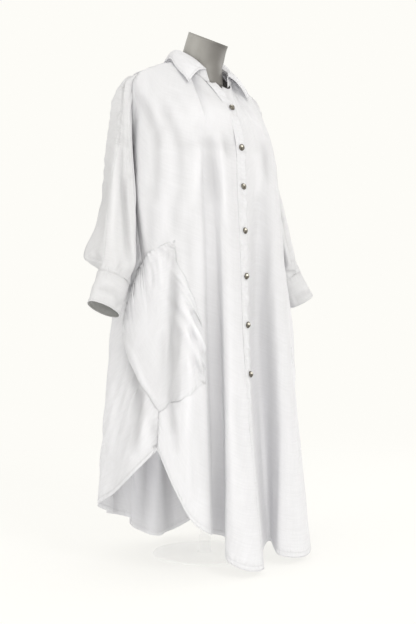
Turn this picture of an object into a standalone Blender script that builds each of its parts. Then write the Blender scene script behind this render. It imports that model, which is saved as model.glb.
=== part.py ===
"""Long linen shirt with buttoned front, wide cuffed sleeves, pointed collar, side vents and draped
side pockets, worn by a limbless dress form on a slim clear pole and a round clear base plate.

Metres, +Z up. The shirt's front faces -Y, the wearer's left is +X. The origin is on the floor under
the middle of the whole. Angles around the body run from the front (0) to the wearer's right (90),
the back (180) and the left (270).
"""
import math

import bmesh
import bpy
import numpy as np
from mathutils import Vector

# ---------------------------------------------------------------- driving dimensions
CLOTH = 0.0016            # wall of the linen, hems and seam allowances included
SEAM_GAP = 0.0004         # between pieces that are sewn together
TOP_GAP = 0.0007          # along the shoulder line and the neckline, which bend more
SHOULDER_SEAM_EASE = 0.0020  # more gap where a sleeve leaves the shoulder tip at an angle
LAY_GAP = 0.0003          # between a piece and the one it lies on
LAP_GAP = 0.0008          # between the right front and the left one under it
HEM_LEVEL = 0.03          # height at which the hem column of the fold tables holds
HIP_LEVEL = 0.40
UNDERARM_LEVEL = 0.86
CHEST_LEVEL = 0.95

PLACKET_WIDTH = 0.026
PLACKET_OPEN_FROM = 1.062  # above this height the fronts spread into the open neck
PLACKET_OPEN_SPREAD = 0.024
PLACKET_OPEN_REACH = 0.075 # to each side of the centre
PLACKET_WALL = 0.0012
BUTTON_LIFT = 0.0004      # over the placket, for its curve
BUTTON_RADIUS = 0.0072
BUTTON_DOME = 0.0036
BUTTON_HEIGHTS = (1.057, 0.960, 0.868, 0.766, 0.662, 0.551, 0.439)

SHOULDER_TIP = (0.180, 0.040, 1.131)
NECK_POINT = (0.062, 0.022, 1.172)
SHOULDER_DROP_POWER = 1.8      # the shoulder line leaves the neck level and bends down to its tip
NECK_FRONT = (-0.047, 1.127)   # y and z of the neckline at the centre front
NECK_BACK = (0.076, 1.180)     # y and z of the neckline at the centre back
NECK_RISE_POWER = 1.3          # how late the neckline rises from its centre
NECK_SHARE_FRONT = 0.32        # places on the top edge from a shoulder tip to the neck point
NECK_SHARE_BACK = 0.38

FRONT_STEPS = 2           # faces between two neighbouring fold rows
BACK_STEPS = 2
SKIRT_ROWS = 9            # faces from the hem to the underarm
ARMHOLE_ROWS = 2          # faces from the underarm to the chest
YOKE_ROWS = 6             # faces from the chest to the shoulder line
LAST_YOKE_ROW = 0.95      # the last row is a narrow strip lying level beside the shoulder seam
LEVEL_STRIP = 0.006
RISE_STEP = 0.04          # the yoke leaves the chest in the direction of this stretch below it
OVER_SHOULDER = (0, 0.45, 0.04)  # how the fronts arrive at the shoulder line, a share of their reach
OVER_NECK = (0, 0.40, 0.80)      # at the neckline
OVER_TIP = (0.50, 0.25, 0.30)    # and at the shoulder tips, x towards the neck

# Body sections: height, half width, depth to the front, depth to the back.
BODY = (
    (0.00, 0.272, 0.224, 0.208),
    (0.20, 0.262, 0.199, 0.202),
    (0.40, 0.248, 0.174, 0.194),
    (0.55, 0.236, 0.160, 0.186),
    (0.75, 0.219, 0.145, 0.170),
    (0.86, 0.210, 0.136, 0.158),
    (0.95, 0.202, 0.127, 0.148),
    (1.20, 0.195, 0.120, 0.140),
)

# Folds of the fronts, from the right side seam to the left one: hem height, then angle in degrees
# and reach past the section in mm at the hem, hip, underarm and chest, then the place on the top
# edge from the right shoulder tip (0) over the centre front (0.5) to the left shoulder tip (1).
FRONT_FOLDS = (
    # name, hem z, hem, hip, underarm, chest, top
    ("seam_right", 0.276, (63, 0), (60, 0), (92, 0), (99, 0), 0.00),
    ("side_panel", 0.185, (51, 4), (49, 4), (76, 9), (80, 8), 0.07),
    ("pocket_front", 0.120, (42, 6), (40, 5), (56, 6), (62, 6), 0.15),
    ("valley_1_near", 0.095, (33.5, 4), (32, 3), (35, 2), (38, 2), 0.24),
    ("valley_1", 0.085, (21, -52), (18, -41), (25, -13), (26, -6), 0.32),
    ("crest_near", 0.036, (25.5, 4), (22, 2), (18.5, -1), (20, -1), 0.35),
    ("crest", 0.018, (19, 36), (16, 20), (14, 4), (14, 2), 0.40),
    ("placket_near", 0.012, (12, 32), (11.5, 17), (9, 0), (7.5, 0), 0.46),
    ("centre", 0.012, (7.5, 16), (6.5, 8), (2.5, 1), (1, 0), 0.50),
    ("placket_far", 0.014, (3.5, -8), (1, -8), (-4, -1), (-6, 0), 0.54),
    ("valley_2", 0.045, (-17, -58), (-22, -52), (-19, -15), (-21, -7), 0.62),
    ("ridge_near", 0.024, (-10.5, -18), (-19.5, 1), (-28, -2), (-30, 0), 0.68),
    ("ridge", 0.013, (-21, 14), (-25, 10), (-38, 4), (-42, 3), 0.76),
    ("left_panel", 0.020, (-38, 12), (-40, 5), (-54, 2), (-58, 2), 0.85),
    ("left_valley", 0.060, (-55, -16), (-56, -10), (-67, -2), (-72, 0), 0.91),
    ("left_fold", 0.150, (-70, 10), (-70, 6), (-80, 1), (-85, 0), 0.96),
    ("seam_left", 0.270, (-84, 0), (-86, 0), (-92, 0), (-99, 0), 1.00),
)
BACK_FOLDS = (
    ("seam_right", 0.276, (63.2, 0), (60.2, 0), (92.2, 0), (118, 0), 0.00),
    ("side_1", 0.215, (78, 6), (78, 5), (100, 3), (124, 2), 0.06),
    ("side_2", 0.170, (97, -6), (96, -3), (110, 0), (131, 0), 0.13),
    ("fold_1", 0.135, (114, 14), (112, 9), (121, 4), (139, 2), 0.22),
    ("valley_1", 0.107, (130, -24), (128, -14), (133, -5), (147, -2), 0.30),
    ("fold_2", 0.095, (143, 8), (142, 5), (145, 3), (155, 1), 0.38),
    ("valley_2", 0.078, (155, -24), (155, -14), (157, -5), (163, -2), 0.42),
    ("fold_3", 0.042, (168, 10), (168, 6), (169, 3), (172, 2), 0.46),
    ("centre", 0.015, (180, -18), (180, -10), (180, -3), (180, -1), 0.50),
    ("fold_4", 0.012, (193, 10), (192, 6), (191, 3), (188, 2), 0.54),
    ("valley_3", 0.050, (206, -22), (205, -14), (203, -5), (197, -2), 0.58),
    ("fold_5", 0.085, (219, 10), (218, 6), (215, 3), (205, 1), 0.62),
    ("valley_4", 0.130, (233, -20), (232, -12), (227, -4), (213, 0), 0.72),
    ("fold_6", 0.180, (248, 10), (247, 6), (239, 2), (221, 1), 0.80),
    ("side_3", 0.225, (262, -4), (261, -2), (254, 0), (231, 0), 0.90),
    ("seam_left", 0.270, (275.8, 0), (273.8, 0), (267.8, 0), (242, 0), 1.00),
)

# Sleeve sections below the armhole, |x| and y of the corners. The ridge is the crease down the
# outer side, the fin is the back edge, and the inner corners face the body.
SLEEVE = (
    # outer z, inner z, inner x, inner y, inner front y, ridge x, ridge y, fin x, fin y, inner back y
    (1.110, 0.850, 0.2175, 0.010, 0.004, 0.2120, 0.037, 0.2300, 0.058, 0.084),
    (1.045, 0.833, 0.2210, 0.014, -0.008, 0.2290, 0.031, 0.2385, 0.063, 0.080),
    (0.960, 0.810, 0.2244, 0.018, -0.016, 0.2440, 0.022, 0.2488, 0.066, 0.078),
    (0.880, 0.780, 0.2296, 0.020, -0.024, 0.2658, 0.014, 0.2555, 0.066, 0.072),
    (0.790, 0.730, 0.2380, 0.014, -0.034, 0.2885, 0.004, 0.2753, 0.062, 0.062),
    (0.705, 0.685, 0.2450, 0.002, -0.042, 0.3049, -0.006, 0.3136, 0.056, 0.048),
)
SLEEVE_CORNER_SHARES = (0, 0.17, 0.33, 0.5, 0.67, 0.78, 0.88, 1.0)
SLEEVE_STEPS = 2          # faces between two neighbouring sleeve sections
# The left sleeve hangs a little higher and further out at the cuff: height, shift out, lift.
LEFT_SHIFT = (
    (0.55, 0.014, 0.024),
    (0.66, 0.004, 0.018),
    (0.76, -0.004, 0.008),
    (0.88, 0.0, 0.0),
    (1.20, 0.0, 0.0),
)

CUFF_TOP = (0.2770, -0.004, 0.655)   # middle of the cuff where the sleeve is sewn in
CUFF_FALL = (0.50, -0.13, -1.0)      # direction of the cuff, outwards and down
CUFF_DEPTH = 0.078
CUFF_HALF_WIDTH = 0.041
CUFF_HALF_DEPTH = 0.029
CUFF_SIDES = 24
CUFF_ROWS = 3
SLEEVE_END = 0.008        # the sleeve's last stretch above the cuff has the cuff's section

# Pocket corners on the side of the body: place among the fold rows, counted from the side seam to
# the front (positive) or the back (negative), and height.
POCKET_TOP_FRONT = (2.0, 0.742)
POCKET_LOW_FRONT = (2.9, 0.421)
POCKET_POINT = (0.0, 0.358)
POCKET_LOW_BACK = (-1.85, 0.520)
POCKET_TOP_BACK = (-0.35, 0.680)
POCKET_PUFF = 0.014       # how far its middle stands off the body
POCKET_MOUTH = 0.006      # how far its back edge, the hand opening, stands off
POCKET_EASE = 0.0026      # towards its low edge it rides over the folds below
POCKET_POINT_SHARE = 0.45 # of the low edge, from its back end
POCKET_FRONT_BULGE = 0.32 # of a fold, how far its front edge bows forwards
POCKET_COLUMNS = 10
POCKET_ROWS = 9

# Collar, from the opening at the front round to the middle of the back: panel and place on its top
# edge that the stand is sewn to, then the fold line and the leaf's outer edge (|x|, y, z).
COLLAR = (
    (True, 0.50, (0.035, -0.043, 1.152), (0.096, -0.052, 1.112)),
    (True, 0.44, (0.047, -0.031, 1.168), (0.098, -0.034, 1.130)),
    (True, 0.38, (0.057, -0.007, 1.187), (0.096, -0.006, 1.152)),
    (True, 0.33, (0.059, 0.017, 1.199), (0.090, 0.024, 1.179)),
    (False, 0.42, (0.053, 0.042, 1.206), (0.078, 0.062, 1.176)),
    (False, 0.46, (0.033, 0.063, 1.210), (0.048, 0.090, 1.170)),
    (False, 0.50, (0.0, 0.071, 1.212), (0.0, 0.102, 1.168)),
)
# The left leaf hangs lower than the right one: shift of its outer edge from the tip on.
LEFT_LEAF_SHIFT = ((-0.013, -0.015, -0.023), (-0.001, -0.006, -0.008), (0, -0.006, -0.005))
COLLAR_STEPS = 2
FOLD_ROLL = 0.0040        # the stand ends this far below the leaf's fold line
NECK_AXIS = (0, 0.02, 0)
STAND_INSET = (0.98, 0.98, 1)    # the stand's foot runs just inside the neckline
STAND_ROWS = 3
LEAF_ROWS = 4
LEAF_BULGE = 0.010        # the leaf rounds up over its fold

# Dress form sections: height, half width, depth to the front, depth to the back, middle y.
FORM = (
    (0.520, 0.140, 0.085, 0.105, 0.015),
    (0.560, 0.158, 0.096, 0.120, 0.015),
    (0.640, 0.162, 0.100, 0.122, 0.015),
    (0.720, 0.142, 0.094, 0.100, 0.015),
    (0.800, 0.120, 0.088, 0.082, 0.015),
    (0.870, 0.128, 0.098, 0.084, 0.015),
    (0.940, 0.146, 0.112, 0.094, 0.015),
    (0.980, 0.152, 0.110, 0.098, 0.016),
    (1.030, 0.162, 0.088, 0.080, 0.022),
    (1.070, 0.166, 0.064, 0.056, 0.030),
    (1.100, 0.160, 0.042, 0.036, 0.036),
    (1.120, 0.146, 0.032, 0.028, 0.036),
    (1.140, 0.114, 0.030, 0.020, 0.034),
    (1.156, 0.080, 0.033, 0.024, 0.028),
    (1.1665, 0.057, 0.041, 0.034, 0.018),
    (1.178, 0.050, 0.045, 0.045, 0.013),
    (1.205, 0.0475, 0.045, 0.045, 0.004),
)
FORM_SIDES = 36
NECK_CUT_MIDDLE = (-0.004, 1.233)   # y and z of the middle of the slanted neck cut
NECK_CUT_SLOPE = 0.42               # rise of the cut from the front to the back
# Below the neck the throat stands forward of the shoulders: half width, depth, middle y at its
# top, and how much further forward it comes on its way down.
THROAT = (0.046, 0.045, 0.013, 0.06)
THROAT_LEVELS = (1.105, 1.178)
POLE_RADIUS = 0.011
BASE_RADIUS = 0.125
BASE_THICKNESS = 0.006


# ---------------------------------------------------------------- helpers
def smooth_table(rows, at):
    """Monotone cubic curve through a table; the first column is the place."""
    table = np.array(rows, float)
    x, y = table[:, 0], table[:, 1:]
    step = np.diff(x)[:, None]
    slope = np.diff(y, axis=0) / step
    inner = slope[:-1] * slope[1:]
    with np.errstate(divide="ignore", invalid="ignore"):
        mean = 2 * inner / (slope[:-1] + slope[1:])
    inner_slope = np.where(inner > 0, mean, 0.0)
    slopes = np.vstack([slope[:1], inner_slope, slope[-1:]])
    place = np.clip(np.asarray(at, float), x[0], x[-1])
    i = np.clip(np.searchsorted(x, place) - 1, 0, len(x) - 2)
    h = step[i]
    t = ((place - x[i])[..., None]) / h
    return (y[i] * (1 + 2 * t) * (1 - t) ** 2 + y[i + 1] * t * t * (3 - 2 * t)
            + h * slopes[i] * t * (1 - t) ** 2 + h * slopes[i + 1] * t * t * (t - 1))


def smooth_line(points, steps, closed=False):
    """Centripetal curve through the points (first axis), with steps faces between neighbours."""
    p = np.array(points, float)
    if closed:
        p = np.concatenate([p[-1:], p, p[:2]])
    else:
        p = np.concatenate([2 * p[:1] - p[1:2], p, 2 * p[-1:] - p[-2:-1]])
    gaps = np.linalg.norm(np.diff(p, axis=0), axis=-1, keepdims=True) ** 0.5 + 1e-9
    out = []
    for i in range(1, len(p) - 2):
        d0, d1, d2 = gaps[i - 1], gaps[i], gaps[i + 1]
        m1 = (p[i + 1] - p[i]) + d1 * ((p[i] - p[i - 1]) / d0 - (p[i + 1] - p[i - 1]) / (d0 + d1))
        m2 = (p[i + 1] - p[i]) + d1 * ((p[i + 2] - p[i + 1]) / d2
                                       - (p[i + 2] - p[i]) / (d1 + d2))
        for k in range(steps):
            t = k / steps
            out.append(p[i] * (1 + 2 * t) * (1 - t) ** 2 + p[i + 1] * t * t * (3 - 2 * t)
                       + m1 * t * (1 - t) ** 2 + m2 * t * t * (t - 1))
    if not closed:
        out.append(p[-2])
    return np.array(out)


def body_point(degrees, reach, z):
    """Point of the body section at an angle, moved out by reach in metres."""
    half, front, back = np.moveaxis(smooth_table(BODY, z), -1, 0)
    angle = np.radians(degrees)
    depth = np.where(np.cos(angle) >= 0, front, back)
    x, y = -half * np.sin(angle), -depth * np.cos(angle)
    out_x, out_y = -np.sin(angle) / half, -np.cos(angle) / depth
    size = np.hypot(out_x, out_y)
    return np.stack([x + reach * out_x / size, y + reach * out_y / size, np.broadcast_to(z, x.shape)], -1)


def fold_point(fold, z):
    """Point of one fold row at a height between the hem and the chest."""
    if z <= UNDERARM_LEVEL:
        table = [(HEM_LEVEL, *fold[2]), (HIP_LEVEL, *fold[3]), (UNDERARM_LEVEL, *fold[4])]
    else:
        table = [(UNDERARM_LEVEL, *fold[4]), (CHEST_LEVEL, *fold[5])]
    degrees, reach = smooth_table(table, z)
    return body_point(np.array(degrees), reach / 1000, z)


def shoulder_point(side, share):
    """Point of the shoulder line, from its tip (0) to the neck point (1)."""
    tip, neck = np.array(SHOULDER_TIP), np.array(NECK_POINT)
    point = tip + (neck - tip) * share
    point[2] = neck[2] - (neck[2] - tip[2]) * (1 - share) ** SHOULDER_DROP_POWER
    return point * (side, 1, 1)


def top_point(place, neck_share, front):
    """Top edge of a panel: right shoulder, neckline, left shoulder."""
    side = -1 if place < 0.5 else 1
    half = min(place, 1 - place)
    if half < neck_share:
        return shoulder_point(side, half / neck_share)
    turn = (half - neck_share) / (0.5 - neck_share) * math.pi / 2
    y_end, z_end = NECK_FRONT if front else NECK_BACK
    x = side * NECK_POINT[0] * math.cos(turn)
    y = NECK_POINT[1] + (y_end - NECK_POINT[1]) * math.sin(turn)
    z = NECK_POINT[2] + (z_end - NECK_POINT[2]) * math.sin(turn) ** NECK_RISE_POWER
    return np.array([x, y, z])


def panel(folds, steps, front, sewn_to=None):
    """Grid of points of the front or back, rows from the hem up, columns along the folds. Below the
    underarm the side seams are those of the panel it is sewn to."""
    neck_share = NECK_SHARE_FRONT if front else NECK_SHARE_BACK
    rows = []

    def at(i, z):
        return fold_point(folds[i], z)

    skirt = [k / SKIRT_ROWS for k in range(SKIRT_ROWS)]
    for share in skirt:
        rows.append([at(i, f[1] + (UNDERARM_LEVEL - f[1]) * share) for i, f in enumerate(folds)])
    for k in range(ARMHOLE_ROWS):
        z = UNDERARM_LEVEL + (CHEST_LEVEL - UNDERARM_LEVEL) * k / ARMHOLE_ROWS
        rows.append([at(i, z) for i in range(len(folds))])
    for t in [k / YOKE_ROWS for k in range(YOKE_ROWS)] + [LAST_YOKE_ROW, 1.0]:
        row = []
        for i, fold in enumerate(folds):
            low, high = at(i, CHEST_LEVEL), top_point(fold[-1], neck_share, front)
            reach = np.linalg.norm(high - low)
            rise = (low - at(i, CHEST_LEVEL - RISE_STEP)) / RISE_STEP * reach
            on_shoulder = min(fold[-1], 1 - fold[-1]) < neck_share + 1e-6
            ahead = 1 if front else -1
            over = OVER_SHOULDER if on_shoulder else OVER_NECK
            if fold[-1] in (0, 1):
                over = OVER_TIP
            end = np.array(over) * (-np.sign(low[0]), ahead, 1) * reach
            if t == LAST_YOKE_ROW and on_shoulder:
                row.append(high - (0, LEVEL_STRIP * ahead, 0))
            else:
                row.append(low * (1 + 2 * t) * (1 - t) ** 2 + high * t * t * (3 - 2 * t)
                           + rise * t * (1 - t) ** 2 + end * t * t * (t - 1))
        rows.append(row)
    if sewn_to is not None:
        for r in range(SKIRT_ROWS + 1):
            rows[r][0], rows[r][-1] = sewn_to[r, 0], sewn_to[r, -1]
    corners = [i for i, fold in enumerate(folds) if abs(abs(fold[-1] - 0.5) - 0.5 + neck_share) < 1e-6]
    lines = [smooth_line(row, steps) for row in rows[:-2]]
    return np.array(lines + [cornered_line(row, steps, corners) for row in rows[-2:]])


def cornered_line(points, steps, corners):
    """Smooth line that keeps a corner at each of the numbered points."""
    ends = [0, *corners, len(points) - 1]
    parts = [smooth_line(points[a:b + 1], steps)[:-1] for a, b in zip(ends, ends[1:])]
    return np.concatenate([*parts, [points[-1]]])


def grid_normals(grid, closed=False):
    """Outward normals of a grid whose columns run from the wearer's right to left over the front."""
    if closed:
        across = np.roll(grid, -1, axis=1) - np.roll(grid, 1, axis=1)
    else:
        across = np.gradient(grid, axis=1)
    along = np.gradient(grid, axis=0)
    normal = np.cross(across, along)
    return normal / (np.linalg.norm(normal, axis=-1, keepdims=True) + 1e-12)


def material(name, colour, roughness, metallic=0.0):
    """Plain surface of one colour."""
    made = bpy.data.materials.new(name)
    made.use_nodes = True
    shader = made.node_tree.nodes["Principled BSDF"]
    shader.inputs["Base Color"].default_value = (*colour, 1)
    shader.inputs["Roughness"].default_value = roughness
    shader.inputs["Metallic"].default_value = metallic
    made.diffuse_color = (*colour, 1)
    return made


def keep(name, mesh, surface):
    """Object of a mesh in the garment's collection."""
    thing = bpy.data.objects.new(name, mesh)
    mesh.materials.append(surface)
    garment.objects.link(thing)
    return thing


def sheet_mesh(name, grid, closed=False):
    """Open surface over a grid of points; a closed grid joins its last column to its first."""
    rows, columns = grid.shape[:2]
    faces = []
    for r in range(rows - 1):
        for c in range(columns if closed else columns - 1):
            d = (c + 1) % columns
            faces.append((r * columns + c, r * columns + d, (r + 1) * columns + d, (r + 1) * columns + c))
    mesh = bpy.data.meshes.new(name)
    mesh.from_pydata([tuple(p) for p in grid.reshape(-1, 3)], [], faces)
    mesh.shade_smooth()
    return mesh


def face_out(grid, closed=False):
    """Grid turned, if need be, so that its faces look away from the middle of its rows."""
    middle = grid.mean(axis=1, keepdims=True) if closed else np.array([0, 0.02, 0])
    away = (grid - middle)[..., :2]
    facing = (grid_normals(grid, closed)[..., :2] * away).sum()
    return grid if facing > 0 else grid[:, ::-1]


def moved_out(grid, distance, closed=False):
    """Grid moved along its own normals."""
    return grid + grid_normals(grid, closed) * distance


def cloth(name, grid, closed=False, wall=CLOTH):
    """Cloth wall: the grid is its outer face, the wall goes inwards."""
    thing = keep(name, sheet_mesh(name, face_out(grid, closed), closed), linen)
    shell = thing.modifiers.new("wall", "SOLIDIFY")
    shell.thickness = wall
    shell.offset = -1
    shell.use_even_offset = False
    return thing


# ---------------------------------------------------------------- collection and materials
for old in list(bpy.data.objects):
    bpy.data.objects.remove(old)
garment = bpy.data.collections.new("linen_shirt_on_form")
bpy.context.scene.collection.children.link(garment)
linen = material("linen", (0.84, 0.85, 0.86), 0.85)
form_grey = material("form_grey", (0.20, 0.20, 0.20), 0.35)
stand_clear = material("stand_clear", (0.93, 0.94, 0.94), 0.1)
button_metal = material("button_metal", (0.55, 0.50, 0.40), 0.28, 1.0)


# ---------------------------------------------------------------- fronts and back
def seam_trim(grid, edges, gap):
    """Grid with the named edges moved in by a gap: first, last, top."""
    out = grid.copy()
    pairs = {"first": (np.s_[:, 0], np.s_[:, 1]), "last": (np.s_[:, -1], np.s_[:, -2]),
             "top": (np.s_[-1], np.s_[-2])}
    for edge in edges:
        outer, inner = pairs[edge]
        step = out[inner] - out[outer]
        out[outer] = out[outer] + step / np.linalg.norm(step, axis=-1, keepdims=True) * gap
    return out


def along_rows(grid, column, distance):
    """One point in each row, a signed distance past a column along the cloth."""
    out = []
    for row in grid:
        steps = np.linalg.norm(np.diff(row, axis=0), axis=-1)
        place = np.concatenate([[0], np.cumsum(steps)])
        at = place[column] + distance
        out.append([np.interp(at, place, row[:, k]) for k in range(3)])
    return np.array(out)


def spread(height, aside):
    """How far the open neck spreads a point aside, from its height and distance to the centre."""
    share = np.clip((height - PLACKET_OPEN_FROM) / (NECK_FRONT[1] - PLACKET_OPEN_FROM), 0, 1)
    near = np.clip(1 - np.abs(aside) / PLACKET_OPEN_REACH, 0, 1)
    return PLACKET_OPEN_SPREAD * share ** 1.1 * near * near * (3 - 2 * near)


def opened(grid, middle, side):
    """Front with its edge spread aside in the open neck."""
    out = grid.copy()
    out[..., 0] += side * spread(grid[..., 2], grid[..., 0] - middle[:, None, 0])
    return out


front = panel(FRONT_FOLDS, FRONT_STEPS, True)
back = panel(BACK_FOLDS, BACK_STEPS, False, front)
fold_names = [fold[0] for fold in FRONT_FOLDS]
centre = fold_names.index("centre") * FRONT_STEPS
half_placket = PLACKET_WIDTH / 2
lap = [along_rows(front, centre, d) for d in (-half_placket, 0.0, half_placket)]
near = fold_names.index("placket_near") * FRONT_STEPS
far = fold_names.index("placket_far") * FRONT_STEPS

right_grid = np.concatenate([front[:, :near + 1], np.stack(lap, 1)], 1)
right_grid = opened(right_grid, lap[1], -1)
left_grid = np.concatenate([np.stack(lap, 1), front[:, far:]], 1)
left_grid = opened(left_grid, lap[1], 1)
neck_column = fold_names.index("ridge_near") * FRONT_STEPS - far + len(lap)
under = np.clip((neck_column - np.arange(left_grid.shape[1])) / (neck_column - len(lap)), 0, 1)
left_grid = left_grid - grid_normals(left_grid) * (CLOTH + LAP_GAP) * under[None, :, None]

right_grid = seam_trim(seam_trim(right_grid, ["first"], SEAM_GAP), ["top"], TOP_GAP)
left_grid = seam_trim(seam_trim(left_grid, ["last"], SEAM_GAP), ["top"], TOP_GAP)
back_grid = seam_trim(seam_trim(back, ["first", "last"], SEAM_GAP), ["top"], TOP_GAP)
cloth("front_right", right_grid)
cloth("front_left", left_grid)
cloth("back", back_grid)

# ---------------------------------------------------------------- placket and buttons
strip = right_grid[:, -3:]
cloth("placket", moved_out(strip, LAY_GAP + PLACKET_WALL), wall=PLACKET_WALL)


def button_mesh():
    """Domed metal button, its flat back at the origin and its dome towards +Z."""
    work = bmesh.new()
    bmesh.ops.create_uvsphere(work, u_segments=14, v_segments=8, radius=BUTTON_RADIUS)
    below = [v for v in work.verts if v.co.z < -1e-5]
    bmesh.ops.delete(work, geom=below, context="VERTS")
    bmesh.ops.holes_fill(work, edges=[e for e in work.edges if e.is_boundary])
    for v in work.verts:
        v.co.z *= BUTTON_DOME / BUTTON_RADIUS
    mesh = bpy.data.meshes.new("button")
    work.to_mesh(mesh)
    work.free()
    mesh.shade_smooth()
    return mesh


dome = button_mesh()
dome.materials.append(button_metal)
strip_normals = grid_normals(strip)
for number, height in enumerate(BUTTON_HEIGHTS, 1):
    rows = strip[:, 1]
    row = int(np.searchsorted(rows[:, 2], height)) - 1
    share = (height - rows[row, 2]) / (rows[row + 1, 2] - rows[row, 2])
    point = rows[row] * (1 - share) + rows[row + 1] * share
    normal = strip_normals[row, 1] * (1 - share) + strip_normals[row + 1, 1] * share
    normal /= np.linalg.norm(normal)
    button = bpy.data.objects.new(f"button_{number}", dome)
    button.location = point + normal * (PLACKET_WALL + 2 * LAY_GAP + BUTTON_LIFT)
    button.rotation_euler = Vector(normal).to_track_quat("Z", "Y").to_euler()
    garment.objects.link(button)

# ---------------------------------------------------------------- sleeves and cuffs
under_row = SKIRT_ROWS


def hung(points, side):
    """Points of a sleeve drawn for |x|, placed on the wearer's right (-1) or left (1)."""
    out = points.copy()
    out[:, 0] *= side
    if side > 0:
        shift = smooth_table(LEFT_SHIFT, points[:, 2])
        out[:, 0] += shift[:, 0]
        out[:, 2] += shift[:, 1]
    return out


def sleeve(side, column):
    """Sleeve from the armhole edge down to the cuff, columns from the shoulder tip over the front."""
    ring = [front[k, column] for k in range(len(front) - 1, under_row - 1, -1)]
    ring += [back[k, column] for k in range(under_row + 1, len(back) - 1)]
    ring = np.array(ring)
    count = len(ring)
    rows = [ring]
    for z_out, z_in, in_x, in_y, in_front, ridge_x, ridge_y, fin_x, fin_y, in_back in SLEEVE:
        mid = in_x + (ridge_x - in_x) * 0.5
        corners = [(ridge_x, ridge_y), (mid, (ridge_y + in_front) / 2 - 0.004), (in_x, in_front),
                   (in_x - 0.001, in_y), (in_x, in_back),
                   ((in_x + fin_x) / 2, (in_back + fin_y) / 2 + 0.004), (fin_x, fin_y)]
        loop = smooth_line([(x, y, 0) for x, y in corners], 12)
        loop = np.concatenate([loop, np.linspace(loop[-1], loop[0], 13)[1:]])
        turns = np.arange(count) / count
        place = np.interp(turns, SLEEVE_CORNER_SHARES, np.arange(8) * 12)
        at = np.stack([np.interp(place, np.arange(85), loop[:, k]) for k in range(3)], 1)
        at[:, 2] = z_in + (z_out - z_in) * (1 + np.cos(turns * 2 * math.pi)) / 2
        rows.append(hung(at, side))
    rows.append(hung(cuff_ring(-SLEEVE_END, count), side))
    rows.append(hung(cuff_ring(-SEAM_GAP, count), side))
    towards = rows[1] - ring
    towards /= np.linalg.norm(towards, axis=1, keepdims=True)
    on_top = np.clip(np.cos(np.arange(count) / count * 2 * math.pi), 0, 1)[:, None] ** 0.7
    rows[0] = ring + towards * LAY_GAP + on_top * (side * SHOULDER_SEAM_EASE, 0, 0)
    return smooth_line(rows, SLEEVE_STEPS)


def cuff_ring(down, count):
    """Section of the cuff a distance down its fall, from its outer side over the front."""
    fall = np.array(CUFF_FALL) / np.linalg.norm(CUFF_FALL)
    outwards = np.array([1.0, 0, 0]) - fall * fall[0]
    outwards /= np.linalg.norm(outwards)
    forwards = np.cross(fall, outwards)
    turns = np.arange(count) / count * 2 * math.pi
    return (np.array(CUFF_TOP) + fall * down + np.outer(np.cos(turns), outwards) * CUFF_HALF_WIDTH
            + np.outer(np.sin(turns), forwards) * CUFF_HALF_DEPTH)


def cuff(side):
    """Band cuff: a tube along its fall."""
    downs = [CUFF_DEPTH * k / CUFF_ROWS for k in range(CUFF_ROWS + 1)]
    return np.array([hung(cuff_ring(down, CUFF_SIDES), side) for down in downs])


for side, word, column in ((-1, "right", 0), (1, "left", -1)):
    cloth(f"sleeve_{word}", sleeve(side, column)[::-1], closed=True)
    cloth(f"cuff_{word}", cuff(side)[::-1], closed=True)


# ---------------------------------------------------------------- pockets
def side_rows(side):
    """Folds around one side seam, from the back to the front."""
    if side < 0:
        return BACK_FOLDS[3:0:-1] + FRONT_FOLDS[:5]
    return BACK_FOLDS[-4:-1] + FRONT_FOLDS[:-6:-1]


def pocket(side):
    """Grid of a pocket: panel points moved out, rows from its low edge up."""
    folds = side_rows(side)
    grid = np.zeros((POCKET_ROWS + 1, POCKET_COLUMNS + 1, 3))
    bend = POCKET_POINT_SHARE
    for r in range(POCKET_ROWS + 1):
        up = r / POCKET_ROWS
        for c in range(POCKET_COLUMNS + 1):
            along = c / POCKET_COLUMNS
            if along < bend:
                share = along / bend
                low = np.array(POCKET_LOW_BACK) * (1 - share) + np.array(POCKET_POINT) * share
            else:
                share = (along - bend) / (1 - bend)
                low = np.array(POCKET_POINT) * (1 - share) + np.array(POCKET_LOW_FRONT) * share
            high = np.array(POCKET_TOP_BACK) * (1 - along) + np.array(POCKET_TOP_FRONT) * along
            place, z = low * (1 - up) + high * up
            place += POCKET_FRONT_BULGE * along ** 3 * math.sin(math.pi * up)
            row = [fold_point(fold, z) for fold in folds]
            line = smooth_line(row, 8)
            at = (place + 3) * 8
            grid[r, c] = [np.interp(at, np.arange(len(line)), line[:, k]) for k in range(3)]
    along = np.linspace(0, 1, POCKET_COLUMNS + 1)[None, :, None]
    up = np.linspace(0, 1, POCKET_ROWS + 1)[:, None, None]
    puff = POCKET_PUFF * (np.sin(math.pi * along) * np.sin(math.pi * up)) ** 0.6
    mouth = POCKET_MOUTH * np.clip(1 - along / 0.3, 0, 1) * np.sin(math.pi * up)
    grid = face_out(grid)
    if side > 0:
        puff, mouth = puff[:, ::-1], mouth[:, ::-1]
    ease = POCKET_EASE * (1 - up) ** 0.5
    return moved_out(grid, LAY_GAP + CLOTH + ease + puff + mouth)


cloth("pocket_right", pocket(-1))
cloth("pocket_left", pocket(1))


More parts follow.
